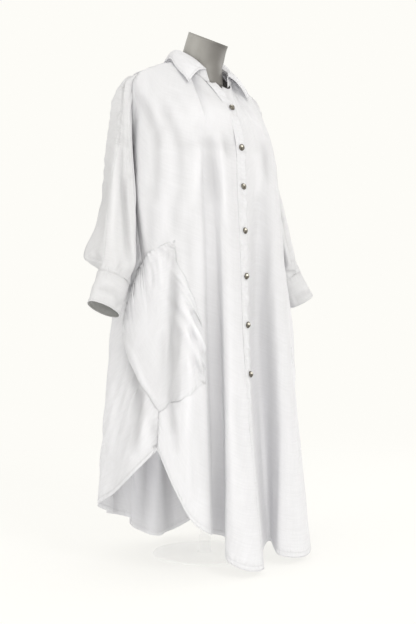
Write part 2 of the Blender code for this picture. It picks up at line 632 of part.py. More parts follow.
# ---------------------------------------------------------------- collar
def collar_lines():
    """Lines of the collar from the right opening round the back to the left one: seam, fold, edge."""
    seam, fold, edge = [], [], []
    for is_front, place, fold_place, edge_place in COLLAR:
        point = top_point(place, NECK_SHARE_FRONT if is_front else NECK_SHARE_BACK, is_front)
        if is_front:
            point[0] -= spread(point[2], point[0])
        seam.append(point)
        fold.append(np.array(fold_place) * (-1, 1, 1))
        edge.append(np.array(edge_place) * (-1, 1, 1))
    lines = []
    for half in (seam, fold, edge):
        half = np.array(half)
        lines.append(np.concatenate([half, half[-2::-1] * (-1, 1, 1)]))
    lines[2][:-len(LEFT_LEAF_SHIFT) - 1:-1] += LEFT_LEAF_SHIFT
    return lines


seam_line, fold_line, edge_line = collar_lines()
stand_top = fold_line.copy()
stand_top[:, 2] -= FOLD_ROLL
base = (seam_line - NECK_AXIS) * STAND_INSET + NECK_AXIS
base[:, 2] += TOP_GAP + LAY_GAP
stand = np.array([smooth_line(base + (stand_top - base) * k / STAND_ROWS, COLLAR_STEPS)
                  for k in range(STAND_ROWS + 1)])
cloth("collar_stand", stand)
leaf_rows = []
for k in range(LEAF_ROWS + 1):
    share = k / LEAF_ROWS
    row = fold_line + (edge_line - fold_line) * share
    row[:, 2] += LEAF_BULGE * math.sin(math.pi * share)
    leaf_rows.append(smooth_line(row, COLLAR_STEPS))
cloth("collar_leaf", np.array(leaf_rows[::-1]))


# ---------------------------------------------------------------- dress form
def form_grid():
    """Torso sections from the hips to the neck, the neck cut on a slant."""
    rows = []
    turns = np.arange(FORM_SIDES) / FORM_SIDES * 2 * math.pi
    for z, half, ahead, behind, middle in FORM:
        depth = np.where(np.cos(turns) > 0, ahead, behind)
        x, y = -half * np.sin(turns), middle - depth * np.cos(turns)
        if THROAT_LEVELS[0] < z < THROAT_LEVELS[1]:
            wide, deep, throat_middle, lean = THROAT
            ahead_of = throat_middle - lean * (THROAT_LEVELS[1] - z)
            throat = ahead_of - deep * np.sqrt(np.clip(1 - (x / wide) ** 2, 0, 1))
            y = np.where((np.abs(x) < wide) & (np.cos(turns) > 0), np.minimum(y, throat), y)
        rows.append(np.stack([x, y, np.full(FORM_SIDES, z)], 1))
    cut_y, cut_z = NECK_CUT_MIDDLE
    last = rows[-1]
    top = last + (0, cut_y - FORM[-1][4], 0)
    top[:, 2] = cut_z + (top[:, 1] - cut_y) * NECK_CUT_SLOPE
    rows.append(top)
    return np.array(rows)


def closed_loft(name, grid, surface):
    """Solid over closed rows, its first and last row closed flat."""
    mesh = sheet_mesh(name, face_out(grid, closed=True), closed=True)
    work = bmesh.new()
    work.from_mesh(mesh)
    bmesh.ops.holes_fill(work, edges=[e for e in work.edges if e.is_boundary])
    bmesh.ops.recalc_face_normals(work, faces=work.faces)
    work.to_mesh(mesh)
    work.free()
    return keep(name, mesh, surface)


def disc(name, radius, low, high, sides, surface):
    """Upright cylinder between two heights."""
    work = bmesh.new()
    bmesh.ops.create_cone(work, cap_ends=True, segments=sides, radius1=radius, radius2=radius,
                          depth=high - low)
    mesh = bpy.data.meshes.new(name)
    work.to_mesh(mesh)
    work.free()
    thing = keep(name, mesh, surface)
    thing.location = (0, 0, (low + high) / 2)
    return thing


closed_loft("form_torso", form_grid(), form_grey)
disc("form_pole", POLE_RADIUS, BASE_THICKNESS + LAY_GAP, FORM[0][0] - LAY_GAP, 24, stand_clear)
disc("form_base", BASE_RADIUS, 0, BASE_THICKNESS, 48, stand_clear)
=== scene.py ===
"""Long white linen shirt with wide cuffed sleeves and draped side pockets, on a limbless dress form.

Metres, +Z up, the shirt's front faces -Y and the wearer's left is +X.
"""

import math

import bpy
import numpy as np
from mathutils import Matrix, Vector


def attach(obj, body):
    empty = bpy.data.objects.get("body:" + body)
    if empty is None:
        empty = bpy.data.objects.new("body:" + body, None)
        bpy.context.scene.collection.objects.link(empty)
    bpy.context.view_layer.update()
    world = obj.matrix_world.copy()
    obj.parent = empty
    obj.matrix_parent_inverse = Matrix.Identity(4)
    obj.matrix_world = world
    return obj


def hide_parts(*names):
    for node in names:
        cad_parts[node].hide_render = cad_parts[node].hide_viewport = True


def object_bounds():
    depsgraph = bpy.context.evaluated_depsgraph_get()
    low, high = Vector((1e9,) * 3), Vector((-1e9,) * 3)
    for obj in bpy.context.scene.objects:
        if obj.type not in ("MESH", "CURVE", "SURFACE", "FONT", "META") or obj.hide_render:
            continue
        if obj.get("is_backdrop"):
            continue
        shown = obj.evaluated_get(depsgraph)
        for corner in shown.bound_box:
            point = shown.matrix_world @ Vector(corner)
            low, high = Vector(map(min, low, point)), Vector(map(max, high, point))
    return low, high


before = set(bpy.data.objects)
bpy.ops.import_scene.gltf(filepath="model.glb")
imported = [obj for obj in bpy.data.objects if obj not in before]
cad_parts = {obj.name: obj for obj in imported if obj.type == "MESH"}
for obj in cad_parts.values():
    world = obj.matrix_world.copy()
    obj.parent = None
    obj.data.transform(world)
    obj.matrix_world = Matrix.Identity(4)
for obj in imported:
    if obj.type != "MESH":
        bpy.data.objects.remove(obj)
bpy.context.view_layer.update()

# ---------------------------------------------------------------- camera
# It looks level at the shirt from the wearer's right front, at the height of the pockets.
CAMERA_ANGLE = math.radians(-42.0)
CAMERA_DISTANCE = 2.6
CAMERA_HEIGHT = 0.58
CAMERA_SIDESTEP = 0.0072
CAMERA_LENS = 62.48
SENSOR_HEIGHT = 36.0      # mm
PICTURE_SIZE = (416, 624)
TO_RIGHT = np.array([math.cos(CAMERA_ANGLE), math.sin(CAMERA_ANGLE), 0])
TO_CAMERA = np.array([math.sin(CAMERA_ANGLE), -math.cos(CAMERA_ANGLE), 0])
camera_place = TO_CAMERA * CAMERA_DISTANCE + TO_RIGHT * CAMERA_SIDESTEP + (0, 0, CAMERA_HEIGHT)


def placed(name, data):
    """New object in the scene."""
    made = bpy.data.objects.new(name, data)
    bpy.context.scene.collection.objects.link(made)
    return made


camera_data = bpy.data.cameras.new("camera")
camera_data.sensor_fit = "VERTICAL"
camera_data.sensor_height = SENSOR_HEIGHT
camera_data.lens = CAMERA_LENS
camera = placed("camera", camera_data)
camera.location = camera_place
camera.rotation_euler = (math.pi / 2, 0, CAMERA_ANGLE)
bpy.context.scene.camera = camera

# ---------------------------------------------------------------- studio
# An even near-white room, a large soft lamp high on the camera's side, a weaker one low at the
# wearer's right, and a pale floor that fades into the room, so that only a faint shadow shows.
ROOM_WHITE = (0.984, 0.974, 0.932)
LAMPS = (
    # name, place, aim, size, power
    ("high_lamp", (-0.35, -3.0, 2.6), (0, 0, 0.75), 1.3, 38.0),
    ("side_lamp", (-3.0, 0.4, 1.5), (0, 0.1, 0.7), 1.6, 15.0),
    ("low_lamp", (-1.3, -2.6, 0.22), (0, 0.2, 0.25), 0.9, 11.0),
    ("near_lamp", (-2.0, -2.2, 0.95), (-0.1, 0, 0.75), 1.2, 5.0),
    ("far_lamp", (3.0, -0.6, 1.3), (0.2, 0, 0.8), 1.6, 16.0),
)
LAMP_COLOUR = (1.0, 0.985, 0.96)
FLOOR_RADIUS = 5.0
FLOOR_DROP = 0.0006
FLOOR_GREY = 0.22         # how much of the floor's brightness comes from the light on it
FLOOR_GLOW = 0.755
FLOOR_FADE = (0.9, 3.5)   # distances from the middle where it begins to fade and is gone


class Channel:
    """A value in a material's nodes, with arithmetic."""

    def __init__(self, tree, socket=None):
        self.tree = tree
        self.socket = socket

    def node(self, kind, settings=None, values=None, output=0):
        """Output of a new node: its settings first, then its values and links."""
        made = self.tree.nodes.new(kind)
        for name, setting in (settings or {}).items():
            setattr(made, name, setting)
        for name, value in (values or {}).items():
            if isinstance(value, Channel):
                self.tree.links.new(value.socket, made.inputs[name])
            else:
                made.inputs[name].default_value = value
        return Channel(self.tree, made.outputs[output])

    def maths(self, operation, *values):
        return self.node("ShaderNodeMath", {"operation": operation}, dict(enumerate((self, *values))))

    def __add__(self, other):
        return self.maths("ADD", other)

    def __sub__(self, other):
        return self.maths("SUBTRACT", other)

    def __mul__(self, other):
        return self.maths("MULTIPLY", other)

    def __neg__(self):
        return self * -1.0

    def __rsub__(self, other):
        return -self + other

    __radd__ = __add__

    def size(self):
        return self.maths("ABSOLUTE")

    def wave(self):
        return self.maths("SINE")

    def fall(self, low, high):
        """1 below low, 0 above high, smooth between them."""
        return self.node("ShaderNodeMapRange", {"interpolation_type": "SMOOTHSTEP"},
                         {0: self, 1: low, 2: high, 3: 1.0, 4: 0.0})

    def blend(self, first, second):
        """Colour between two colours, by this value."""
        return self.node("ShaderNodeMix", {"data_type": "RGBA"}, {0: self, 6: first, 7: second}, 2)

    def stored(self, name, output="Fac"):
        """Values stored on a mesh under a name."""
        return self.node("ShaderNodeAttribute", {"attribute_name": name}, output=output)

    def noise(self, scale, detail=2.0, roughness=0.5):
        """Noise over a vector."""
        return self.node("ShaderNodeTexNoise", None,
                         {"Vector": self, "Scale": scale, "Detail": detail, "Roughness": roughness})

    def place(self):
        """Place on the piece, in metres."""
        return self.node("ShaderNodeTexCoord", output="Object")

    def vector(self, operation, other=(0, 0, 0), output="Value"):
        """Arithmetic of two vectors."""
        return self.node("ShaderNodeVectorMath", {"operation": operation}, {0: self, 1: other}, output)

    def stretched(self, x, y, z):
        """Vector scaled along each of its directions."""
        return self.vector("MULTIPLY", (x, y, z), "Vector")

    def bump(self, strength=1.0):
        """Normal of a height in metres."""
        return self.node("ShaderNodeBump", None, {"Height": self, "Strength": strength, "Distance": 1.0})


def surface(name, **sockets):
    """Material with its main shader; sockets given by name with _ for a space."""
    made = bpy.data.materials.new(name)
    made.use_nodes = True
    shader = made.node_tree.nodes["Principled BSDF"]
    for words, value in sockets.items():
        shader.inputs[words.replace("_", " ")].default_value = value
    return made, Channel(made.node_tree)


def connect(made, **channels):
    """Channels linked to a material's main shader."""
    shader = made.node_tree.nodes["Principled BSDF"]
    for words, channel in channels.items():
        made.node_tree.links.new(channel.socket, shader.inputs[words.replace("_", " ")])


room = bpy.data.worlds.new("room")
room.use_nodes = True
room.node_tree.nodes["Background"].inputs["Color"].default_value = (*ROOM_WHITE, 1)
bpy.context.scene.world = room
bpy.context.scene.view_settings.view_transform = "Standard"

for name, place, aim, size, power in LAMPS:
    lamp_data = bpy.data.lights.new(name, "AREA")
    lamp_data.shape = "DISK"
    lamp_data.size = size
    lamp_data.energy = power
    lamp_data.color = LAMP_COLOUR
    lamp = placed(name, lamp_data)
    lamp.location = place
    lamp.rotation_euler = (Vector(place) - Vector(aim)).to_track_quat("Z", "Y").to_euler()

floor_mesh = bpy.data.meshes.new("floor")
floor_turns = [k / 64 * 2 * math.pi for k in range(64)]
floor_mesh.from_pydata([(FLOOR_RADIUS * math.cos(t), FLOOR_RADIUS * math.sin(t), -FLOOR_DROP)
                        for t in floor_turns], [], [tuple(range(64))])
floor = placed("floor", floor_mesh)
floor_pale, nodes = surface("floor_pale", Base_Color=(FLOOR_GREY,) * 3 + (1,), Roughness=1.0,
                            Specular_IOR_Level=0.0, Emission_Strength=FLOOR_GLOW,
                            Emission_Color=(*ROOM_WHITE, 1))
connect(floor_pale, Alpha=nodes.place().vector("LENGTH").fall(*FLOOR_FADE))
floor_mesh.materials.append(floor_pale)
floor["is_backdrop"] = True

# ---------------------------------------------------------------- fronts
# Each front falls from the shoulder in deep folds that the cloth makes by itself, to a curved hem
# that rises to the side vents. The right front laps over the left one.
WALL = 0.0009
FRONT_STEPS = 13          # faces between two neighbouring folds
SKIRT_STEPS = 16          # faces between two neighbouring rows below the underarm
LAP_STEPS = 18            # faces from the front edge to the first fold beside it
ARMHOLE_STEPS = 8
YOKE_STEPS = 6
SHOULDER_STEPS = (4, 3)   # faces between the last rows, at the shoulder's edge
SKIRT_ROWS = 9            # rows of folds below the underarm
HEM_STITCH = 0.011        # from the hem's edge
UNDERARM_LEVEL = 0.86
CHEST_LEVEL = 0.95
OPEN_FROM = 1.062         # above this height the fronts spread into the open neck
OPEN_SPREAD = 0.024
OPEN_SPREAD_LEFT = 0.033
OPEN_REACH = 0.075
OPEN_DROP = 0.011         # how far the front corners of the neckline hang down
PLACKET_WIDTH = 0.026
LAP = 0.0040              # how far the left front lies under the right one
NECK_SHARE_FRONT = 0.32
NECK_SHARE_BACK = 0.38
SHOULDER_TIP = (0.180, 0.040, 1.131)
NECK_POINT = (0.062, 0.022, 1.172)
NECK_FRONT = (-0.047, 1.127)
NECK_BACK = (0.076, 1.180)
OVER_SHOULDER = (0, 0.45, 0.04)
OVER_NECK = (0, 0.40, 0.80)
OVER_TIP = (0.50, 0.25, 0.30)

# Body sections: height, half width, depth to the front, depth to the back.
BODY = (
    (0.00, 0.272, 0.224, 0.208),
    (0.20, 0.262, 0.199, 0.202),
    (0.40, 0.248, 0.174, 0.194),
    (0.55, 0.236, 0.160, 0.186),
    (0.75, 0.219, 0.145, 0.170),
    (0.86, 0.210, 0.136, 0.158),
    (0.95, 0.202, 0.127, 0.148),
    (1.20, 0.195, 0.120, 0.140),
)
# Folds from the right side seam to the left one: hem height, then angle in degrees and reach in
# mm at the hem, hip, underarm and chest, then the place on the top edge from the right shoulder
# tip (0) over the centre front (0.5) to the left shoulder tip (1).
FRONT_FOLDS = (
    # name, hem z, hem, hip, underarm, chest, top
    ("seam_right", 0.276, (63, 0), (60, 0), (92, 0), (99, 0), 0.00),
    ("side_panel", 0.185, (51, 4), (49, 4), (84, 9), (87, 8), 0.07),
    ("pocket_front", 0.120, (42, 6), (40, 5), (56, 6), (62, 6), 0.15),
    ("valley_1_near", 0.095, (33.5, 4), (32, 3), (35, 2), (38, 2), 0.24),
    ("valley_1", 0.085, (28, -40), (26, -28), (28, -16), (29, -9), 0.32),
    ("valley_1_far", 0.075, (21, -46), (19, -24), (22.5, -15), (24, -7), 0.335),
    ("crest_near", 0.036, (25.5, 4), (20.5, 4), (18.5, -1), (20, -1), 0.35),
    ("crest", 0.018, (19, 36), (16, 20), (14, 4), (14, 2), 0.40),
    ("placket_near", 0.012, (12, 32), (11.5, 17), (9, 0), (7.5, 0), 0.46),
    ("centre", 0.012, (7.5, 16), (6.5, 8), (2.5, 1), (1, 0), 0.50),
    ("placket_far", 0.014, (3.5, -14), (1, -14), (-4, -4), (-6, 0), 0.54),
    ("valley_2", 0.045, (-17, -58), (-22, -54), (-20, -19), (-22, -9), 0.62),
    ("ridge_near", 0.024, (-10.5, -18), (-21.5, 0), (-29, -2), (-31, 0), 0.68),
    ("ridge", 0.013, (-21, 14), (-27, 10), (-38, 4), (-42, 3), 0.76),
    ("left_panel", 0.020, (-38, 12), (-40, 5), (-54, 2), (-58, 2), 0.85),
    ("left_valley", 0.060, (-55, -16), (-56, -10), (-67, -2), (-72, 0), 0.91),
    ("left_fold", 0.150, (-70, 10), (-70, 6), (-80, 1), (-85, 0), 0.96),
    ("seam_left", 0.270, (-84, 0), (-86, 0), (-92, 0), (-99, 0), 1.00),
)
# Small creases of the chest: depth in mm, below 0 for a trough, width in pixels of the picture,
# then x and y in the picture of each point of its line.
CHEST_CREASES = (
    # depth, width, points
    (-4.6, 5, 133, 88, 145, 110, 155, 134, 158, 152),
    (-2, 13, 160, 104, 168, 126, 176, 150),
    (2.6, 5, 140, 84, 152, 104, 163, 127),
    (-4.4, 4.8, 158, 94, 169, 117, 176, 131, 181, 151, 182, 205),
    (2.6, 5, 168, 118, 169, 150, 171, 200),
    (-5, 4.5, 155, 130, 156, 162, 155, 205),
    (-4.2, 5, 209, 134, 210, 160, 212, 205),
    (5, 4.5, 199, 130, 199, 155, 193, 210),
    (-4, 3.6, 223, 130, 227, 143, 230, 160),
    (4.5, 3.4, 217, 130, 221, 148, 224, 190, 225, 230),
    (-6, 4, 264, 140, 266, 158, 268, 185),
    (4.5, 4.5, 254, 150, 257, 168, 258, 200),
    (-2.2, 5, 192, 82, 208, 93, 227, 106),
    (-2.6, 4.6, 201, 72, 213, 85, 226, 101),
    (-2.5, 4.5, 170, 90, 184, 108, 192, 124),
    (-3, 6, 176, 146, 208, 143, 240, 150),
    (4.6, 15, 170, 116, 205, 113, 242, 114),
    (3, 6, 240, 112, 252, 120, 262, 134),
    (-3, 3.5, 237, 118, 238, 130, 236, 146),
    (-3.2, 5, 149, 185, 150, 225, 148, 262),
    (3, 5, 163, 180, 164, 215, 163, 240),
    (-3.6, 4.5, 178, 190, 176, 215, 175, 240),
    (-2.4, 5, 188, 215, 189, 240, 192, 290),
    (2.6, 5, 199, 215, 200, 240, 202, 300),
    (-2, 4, 236, 395, 238, 430, 242, 470),
    (-2.2, 5, 196, 400, 200, 440, 206, 500),
    (-2.2, 6, 182, 420, 188, 460, 198, 505),
    (3, 4, 228, 250, 229, 330, 230, 420, 234, 540),
)
# Folds that run on under the pocket and through it.
SIDE_CREASES = (
    # depth, width, points
    (-10, 4.2, 174, 244, 174, 285, 172, 340, 171, 404, 173, 436),
    (-6, 3.4, 177, 290, 178, 345, 176, 410),
    (5, 4, 183, 262, 187, 320, 190, 380, 186, 440, 190, 500),
    (3, 9, 152, 262, 150, 320, 154, 380),
    (-3, 5, 162, 330, 163, 360, 165, 400),
    (-4, 3.4, 171, 402, 173, 425, 176, 455),
)
# Painted shade on the cloth deep in the two main valleys, which little light reaches; it darkens the
# colour only and leaves the shape.
VALLEY_PAINTED_SHADE = (
    # strength, width, points
    (-6, 6.5, 213, 270, 213, 400, 215, 600),
    (-2.6, 6.5, 214, 410, 215, 480, 215, 600),
    (-4.5, 4.5, 268, 180, 268, 325, 271, 390, 272, 470, 274, 590),
    (-3, 4, 259, 260, 260, 400, 264, 540),
)
PAINTED_SHADING_MOST = 0.8         # how far a deep trough turns to its painted shade, and a high ridge to its painted highlight
PUCKER_PAINTED_SHADE = 0.7        # how much painted shade and highlight the ripples beside a seam take
FULL_FACING = 0.25        # cloth turned to the camera more than this takes a crease at full depth


def eased(start, end, leave, arrive, t):
    """Cubic curve between two points with the given slopes, at t from 0 to 1."""
    return (start * (1 + 2 * t) * (1 - t) ** 2 + end * t * t * (3 - 2 * t)
            + leave * t * (1 - t) ** 2 + arrive * t * t * (t - 1))


def smooth_table(rows, at):
    """Monotone cubic curve through a table; the first column is the place."""
    table = np.array(rows, float)
    x, y = table[:, 0], table[:, 1:]
    step = np.diff(x)[:, None]
    slope = np.diff(y, axis=0) / step
    inner = slope[:-1] * slope[1:]
    with np.errstate(divide="ignore", invalid="ignore"):
        mean = 2 * inner / (slope[:-1] + slope[1:])
    slopes = np.vstack([slope[:1], np.where(inner > 0, mean, 0.0), slope[-1:]])
    place = np.clip(np.asarray(at, float), x[0], x[-1])
    i = np.clip(np.searchsorted(x, place) - 1, 0, len(x) - 2)
    h = step[i]
    t = (place - x[i])[..., None] / h
    return eased(y[i], y[i + 1], h * slopes[i], h * slopes[i + 1], t)


def smooth_line(points, steps, closed=False):
    """Centripetal curve through the points (first axis); steps are the faces between neighbours,
    one number or one for each gap."""
    p = np.array(points, float)
    if closed:
        p = np.concatenate([p[-1:], p, p[:2]])
    else:
        p = np.concatenate([2 * p[:1] - p[1:2], p, 2 * p[-1:] - p[-2:-1]])
    if np.ndim(steps) == 0:
        steps = [steps] * (len(p) - 3)
    gaps = np.linalg.norm(np.diff(p, axis=0), axis=-1, keepdims=True) ** 0.5 + 1e-9
    out = []
    for i, count in enumerate(steps, 1):
        d0, d1, d2 = gaps[i - 1], gaps[i], gaps[i + 1]
        m1 = (p[i + 1] - p[i]) + d1 * ((p[i] - p[i - 1]) / d0 - (p[i + 1] - p[i - 1]) / (d0 + d1))
        m2 = (p[i + 1] - p[i]) + d1 * ((p[i + 2] - p[i + 1]) / d2 - (p[i + 2] - p[i]) / (d1 + d2))
        out += [eased(p[i], p[i + 1], m1, m2, k / count) for k in range(count)]
    if not closed:
        out.append(p[-2])
    return np.array(out)


def body_point(degrees, reach, z):
    """Point of the body section at an angle, moved out by reach in metres."""
    half, front, back = np.moveaxis(smooth_table(BODY, z), -1, 0)
    angle = np.radians(degrees)
    depth = np.where(np.cos(angle) >= 0, front, back)
    x, y = -half * np.sin(angle), -depth * np.cos(angle)
    out_x, out_y = -np.sin(angle) / half, -np.cos(angle) / depth
    size = np.hypot(out_x, out_y)
    x, y = x + reach * out_x / size, y + reach * out_y / size
    return np.stack([x, y, np.broadcast_to(z, x.shape)], -1)


def fold_point(fold, z):
    """Point of one fold at a height between the hem and the chest."""
    if z <= UNDERARM_LEVEL:
        table = [(0.03, *fold[2]), (0.40, *fold[3]), (UNDERARM_LEVEL, *fold[4])]
    else:
        table = [(UNDERARM_LEVEL, *fold[4]), (CHEST_LEVEL, *fold[5])]
    degrees, reach = smooth_table(table, z)
    return body_point(np.array(degrees), reach / 1000, z)


def top_point(place, neck_share, front):
    """Top edge of a panel: right shoulder, neckline, left shoulder."""
    side = -1 if place < 0.5 else 1
    half = min(place, 1 - place)
    tip, neck = np.array(SHOULDER_TIP), np.array(NECK_POINT)
    if half < neck_share:
        share = half / neck_share
        point = tip + (neck - tip) * share
        point[2] = neck[2] - (neck[2] - tip[2]) * (1 - share) ** 1.8
        return point * (side, 1, 1)
    turn = (half - neck_share) / (0.5 - neck_share) * math.pi / 2
    y_end, z_end = NECK_FRONT if front else NECK_BACK
    return np.array([side * neck[0] * math.cos(turn), neck[1] + (y_end - neck[1]) * math.sin(turn),
                     neck[2] + (z_end - neck[2]) * math.sin(turn) ** 1.3])


def panel_rows(folds, front):
    """Points of a panel along its folds, in rows from the hem to the shoulder line."""
    neck_share = NECK_SHARE_FRONT if front else NECK_SHARE_BACK
    ahead = 1 if front else -1
    rows = [[fold_point(f, f[1] + (UNDERARM_LEVEL - f[1]) * k / SKIRT_ROWS) for f in folds]
            for k in range(SKIRT_ROWS)]
    for z in (UNDERARM_LEVEL, (UNDERARM_LEVEL + CHEST_LEVEL) / 2):
        rows.append([fold_point(f, z) for f in folds])
    for t in (0, 1 / 6, 2 / 6, 3 / 6, 4 / 6, 5 / 6, 0.95, 1.0):
        row = []
        for fold in folds:
            low, high = fold_point(fold, CHEST_LEVEL), top_point(fold[-1], neck_share, front)
            reach = np.linalg.norm(high - low)
            rise = (low - fold_point(fold, CHEST_LEVEL - 0.04)) / 0.04 * reach
            on_shoulder = min(fold[-1], 1 - fold[-1]) < neck_share + 1e-6
            over = OVER_SHOULDER if on_shoulder else OVER_NECK
            if fold[-1] in (0, 1):
                over = OVER_TIP
            end = np.array(over) * (-np.sign(low[0]), ahead, 1) * reach
            if t == 0.95 and on_shoulder:
                row.append(high - (0, 0.006 * ahead, 0))
            else:
                row.append(eased(low, high, rise, end, t))
        rows.append(row)
    return np.array(rows)


def panel(rows, folds, steps, front):
    """Fine grid of a panel from its rows, with corners only where the neckline starts."""
    neck_share = NECK_SHARE_FRONT if front else NECK_SHARE_BACK
    row_steps = [SKIRT_STEPS] * SKIRT_ROWS + [ARMHOLE_STEPS] * 2 + [YOKE_STEPS] * 5
    fine = smooth_line(rows, [*row_steps, *SHOULDER_STEPS])
    smooth = smooth_line(fine.swapaxes(0, 1), steps).swapaxes(0, 1)
    corners = [i for i, f in enumerate(folds) if abs(abs(f[-1] - 0.5) - 0.5 + neck_share) < 1e-6]
    ends = [0, *corners, len(folds) - 1]
    parts = [smooth_line(fine.swapaxes(0, 1)[a:b + 1], steps)[:-1] for a, b in zip(ends, ends[1:])]
    cornered = np.concatenate([*parts, fine.swapaxes(0, 1)[-1:]]).swapaxes(0, 1)
    place = np.arange(len(fine)) - (len(fine) - 1 - sum(SHOULDER_STEPS))
    sharp = np.clip(place / SHOULDER_STEPS[0], 0, 1)[:, None, None]
    return smooth * (1 - sharp) + cornered * sharp


def grid_normals(grid, closed=False):
    """Normals of a grid, outwards where its columns run from the wearer's right over the front."""
    if closed:
        across = np.roll(grid, -1, axis=1) - np.roll(grid, 1, axis=1)
    else:
        across = np.gradient(grid, axis=1)
    normal = np.cross(across, np.gradient(grid, axis=0))
    return normal / (np.linalg.norm(normal, axis=-1, keepdims=True) + 1e-12)


def lifted(grid, lift, closed=False):
    """Grid moved out along its normals."""
    return grid + grid_normals(grid, closed) * lift[..., None]


def wrapped(grid):
    """Closed grid with its first column once more at the end."""
    return np.concatenate([grid, grid[:, :1]], axis=1)


def run_over(grid, axis):
    """Distance over the cloth from the first row (axis 0) or the first column (axis 1)."""
    steps = np.linalg.norm(np.diff(grid, axis=axis), axis=-1)
    start = np.zeros_like(grid[:1, :, 0] if axis == 0 else grid[:, :1, 0])
    return np.concatenate([start, np.cumsum(steps, axis=axis)], axis=axis)


def cloth_runs(grid):
    """Distances over the cloth: across from its first column, and up from its first row."""
    return run_over(grid, 1), run_over(grid, 0)


def from_ends(across):
    """Distance from the nearer end of each row."""
    return np.minimum(across, across[:, -1:] - across)


def read_off(places, known, values):
    """Columns of values read off at places, from where they are known."""
    return np.stack([np.interp(places, known, column) for column in values.T], -1)


def picture(points):
    """Where points lie in the picture, in pixels."""
    away = points - camera_place
    depth = -(away @ TO_CAMERA)
    wide, high = PICTURE_SIZE
    scale = CAMERA_LENS / SENSOR_HEIGHT * high / depth
    return np.stack([wide / 2 + (away @ TO_RIGHT) * scale, high / 2 - away[..., 2] * scale], -1)


def line_distance(places, line):
    """Distance of places from a line of points, and how far along it each one is, from 0 to 1."""
    line = line.astype(float)
    lengths = np.linalg.norm(np.diff(line, axis=0), axis=1)
    starts = np.concatenate([[0], np.cumsum(lengths)])
    best = np.full(places.shape[:-1], 1e9)
    along = np.zeros(places.shape[:-1])
    for a, b, length, start in zip(line, line[1:], lengths, starts):
        share = np.clip(((places - a) @ (b - a)) / length ** 2, 0, 1)
        distance = np.linalg.norm(places - a - share[..., None] * (b - a), axis=-1)
        nearer = distance < best
        best = np.where(nearer, distance, best)
        along = np.where(nearer, (start + share * length) / starts[-1], along)
    return best, along


def creased(grid, creases, mirrored=False, closed=False, inside=False):
    """Grid with small creases pressed in or raised where the picture shows them, and their height
    in mm, from which shade is painted into troughs and highlight onto ridges; mirrored puts them
    on the other side of the body, inside on the cloth's inner face."""
    flip = np.array([-1, 1, 1]) if mirrored else np.array([1, 1, 1])
    normals = grid_normals(grid, closed) * (-1 if inside else 1)
    towards = camera_place - grid * flip
    towards = towards / np.linalg.norm(towards, axis=-1, keepdims=True)
    facing = np.clip((normals * flip * towards).sum(-1) / FULL_FACING, 0, 1)
    seen = picture(grid * flip)
    lift = np.zeros(grid.shape[:2])
    for depth, width, *points in creases:
        distance, along = line_distance(seen, np.reshape(points, (-1, 2)))
        lift += depth / 1000 * np.exp(-(distance / width) ** 2) * np.sin(math.pi * along) ** 0.6
    return grid + normals * (lift * facing)[..., None], lift * facing * 1000


def ripples(run, period, seed):
    """Uneven ripples along a seam, from -1 to 1."""
    start = np.random.default_rng(seed).uniform(0, 2 * math.pi, 4)
    place = run / period
    wander = 1.1 * np.sin(place * 1.9 + start[0]) + 1.3 * np.sin(place * 0.71 + start[1])
    strength = 0.5 + 0.5 * np.sin(place * 1.27 + start[2]) * np.sin(place * 0.43 + start[3])
    return np.sin(2 * math.pi * place + wander) * strength


def uneven(grid, across, along, length, height, seed, closed=False):
    """Grid with the soft unevenness of hanging cloth, its height in metres."""
    random = np.random.default_rng(seed)
    total = np.zeros_like(across)
    for _ in range(6):
        tilt = random.uniform(-0.5, 0.5)
        pitch = length * random.uniform(0.5, 1.6)
        start = random.uniform(0, 2 * math.pi)
        total += np.sin((across + along * tilt) / pitch * 2 * math.pi + start) / 6 ** 0.5
    return lifted(grid, total * height, closed)


def puckered(grid, distance, run, height, reach, period, seed, closed=False):
    """Grid rippled beside a seam: distance from the seam and run along it, in metres."""
    away = np.abs(distance) / (reach * (1 + 0.45 * np.sin(run / period * 1.7 + seed)))
    lift = height * away * np.exp((1 - away ** 2) / 2) * ripples(run, period, seed)
    return lifted(grid, lift, closed)


def held_by_seams(grid, seams, closed=False):
    """Grid rippled beside all its seams, and the height of the ripples in mm, weakened to the
    painted shade and highlight that they are given. A seam is (distance from it, run along it, height,
    reach, period, seed)."""
    smooth = grid
    for seam in seams:
        grid = puckered(grid, *seam, closed)
    ripple = ((grid - smooth) * grid_normals(smooth)).sum(-1) * 1000
    return grid, PUCKER_PAINTED_SHADE * ripple


def grid_faces(numbers):
    """Faces between the numbered points of a grid."""
    corners = numbers[:-1, :-1], numbers[:-1, 1:], numbers[1:, 1:], numbers[1:, :-1]
    return np.stack(corners, -1).reshape(-1, 4)


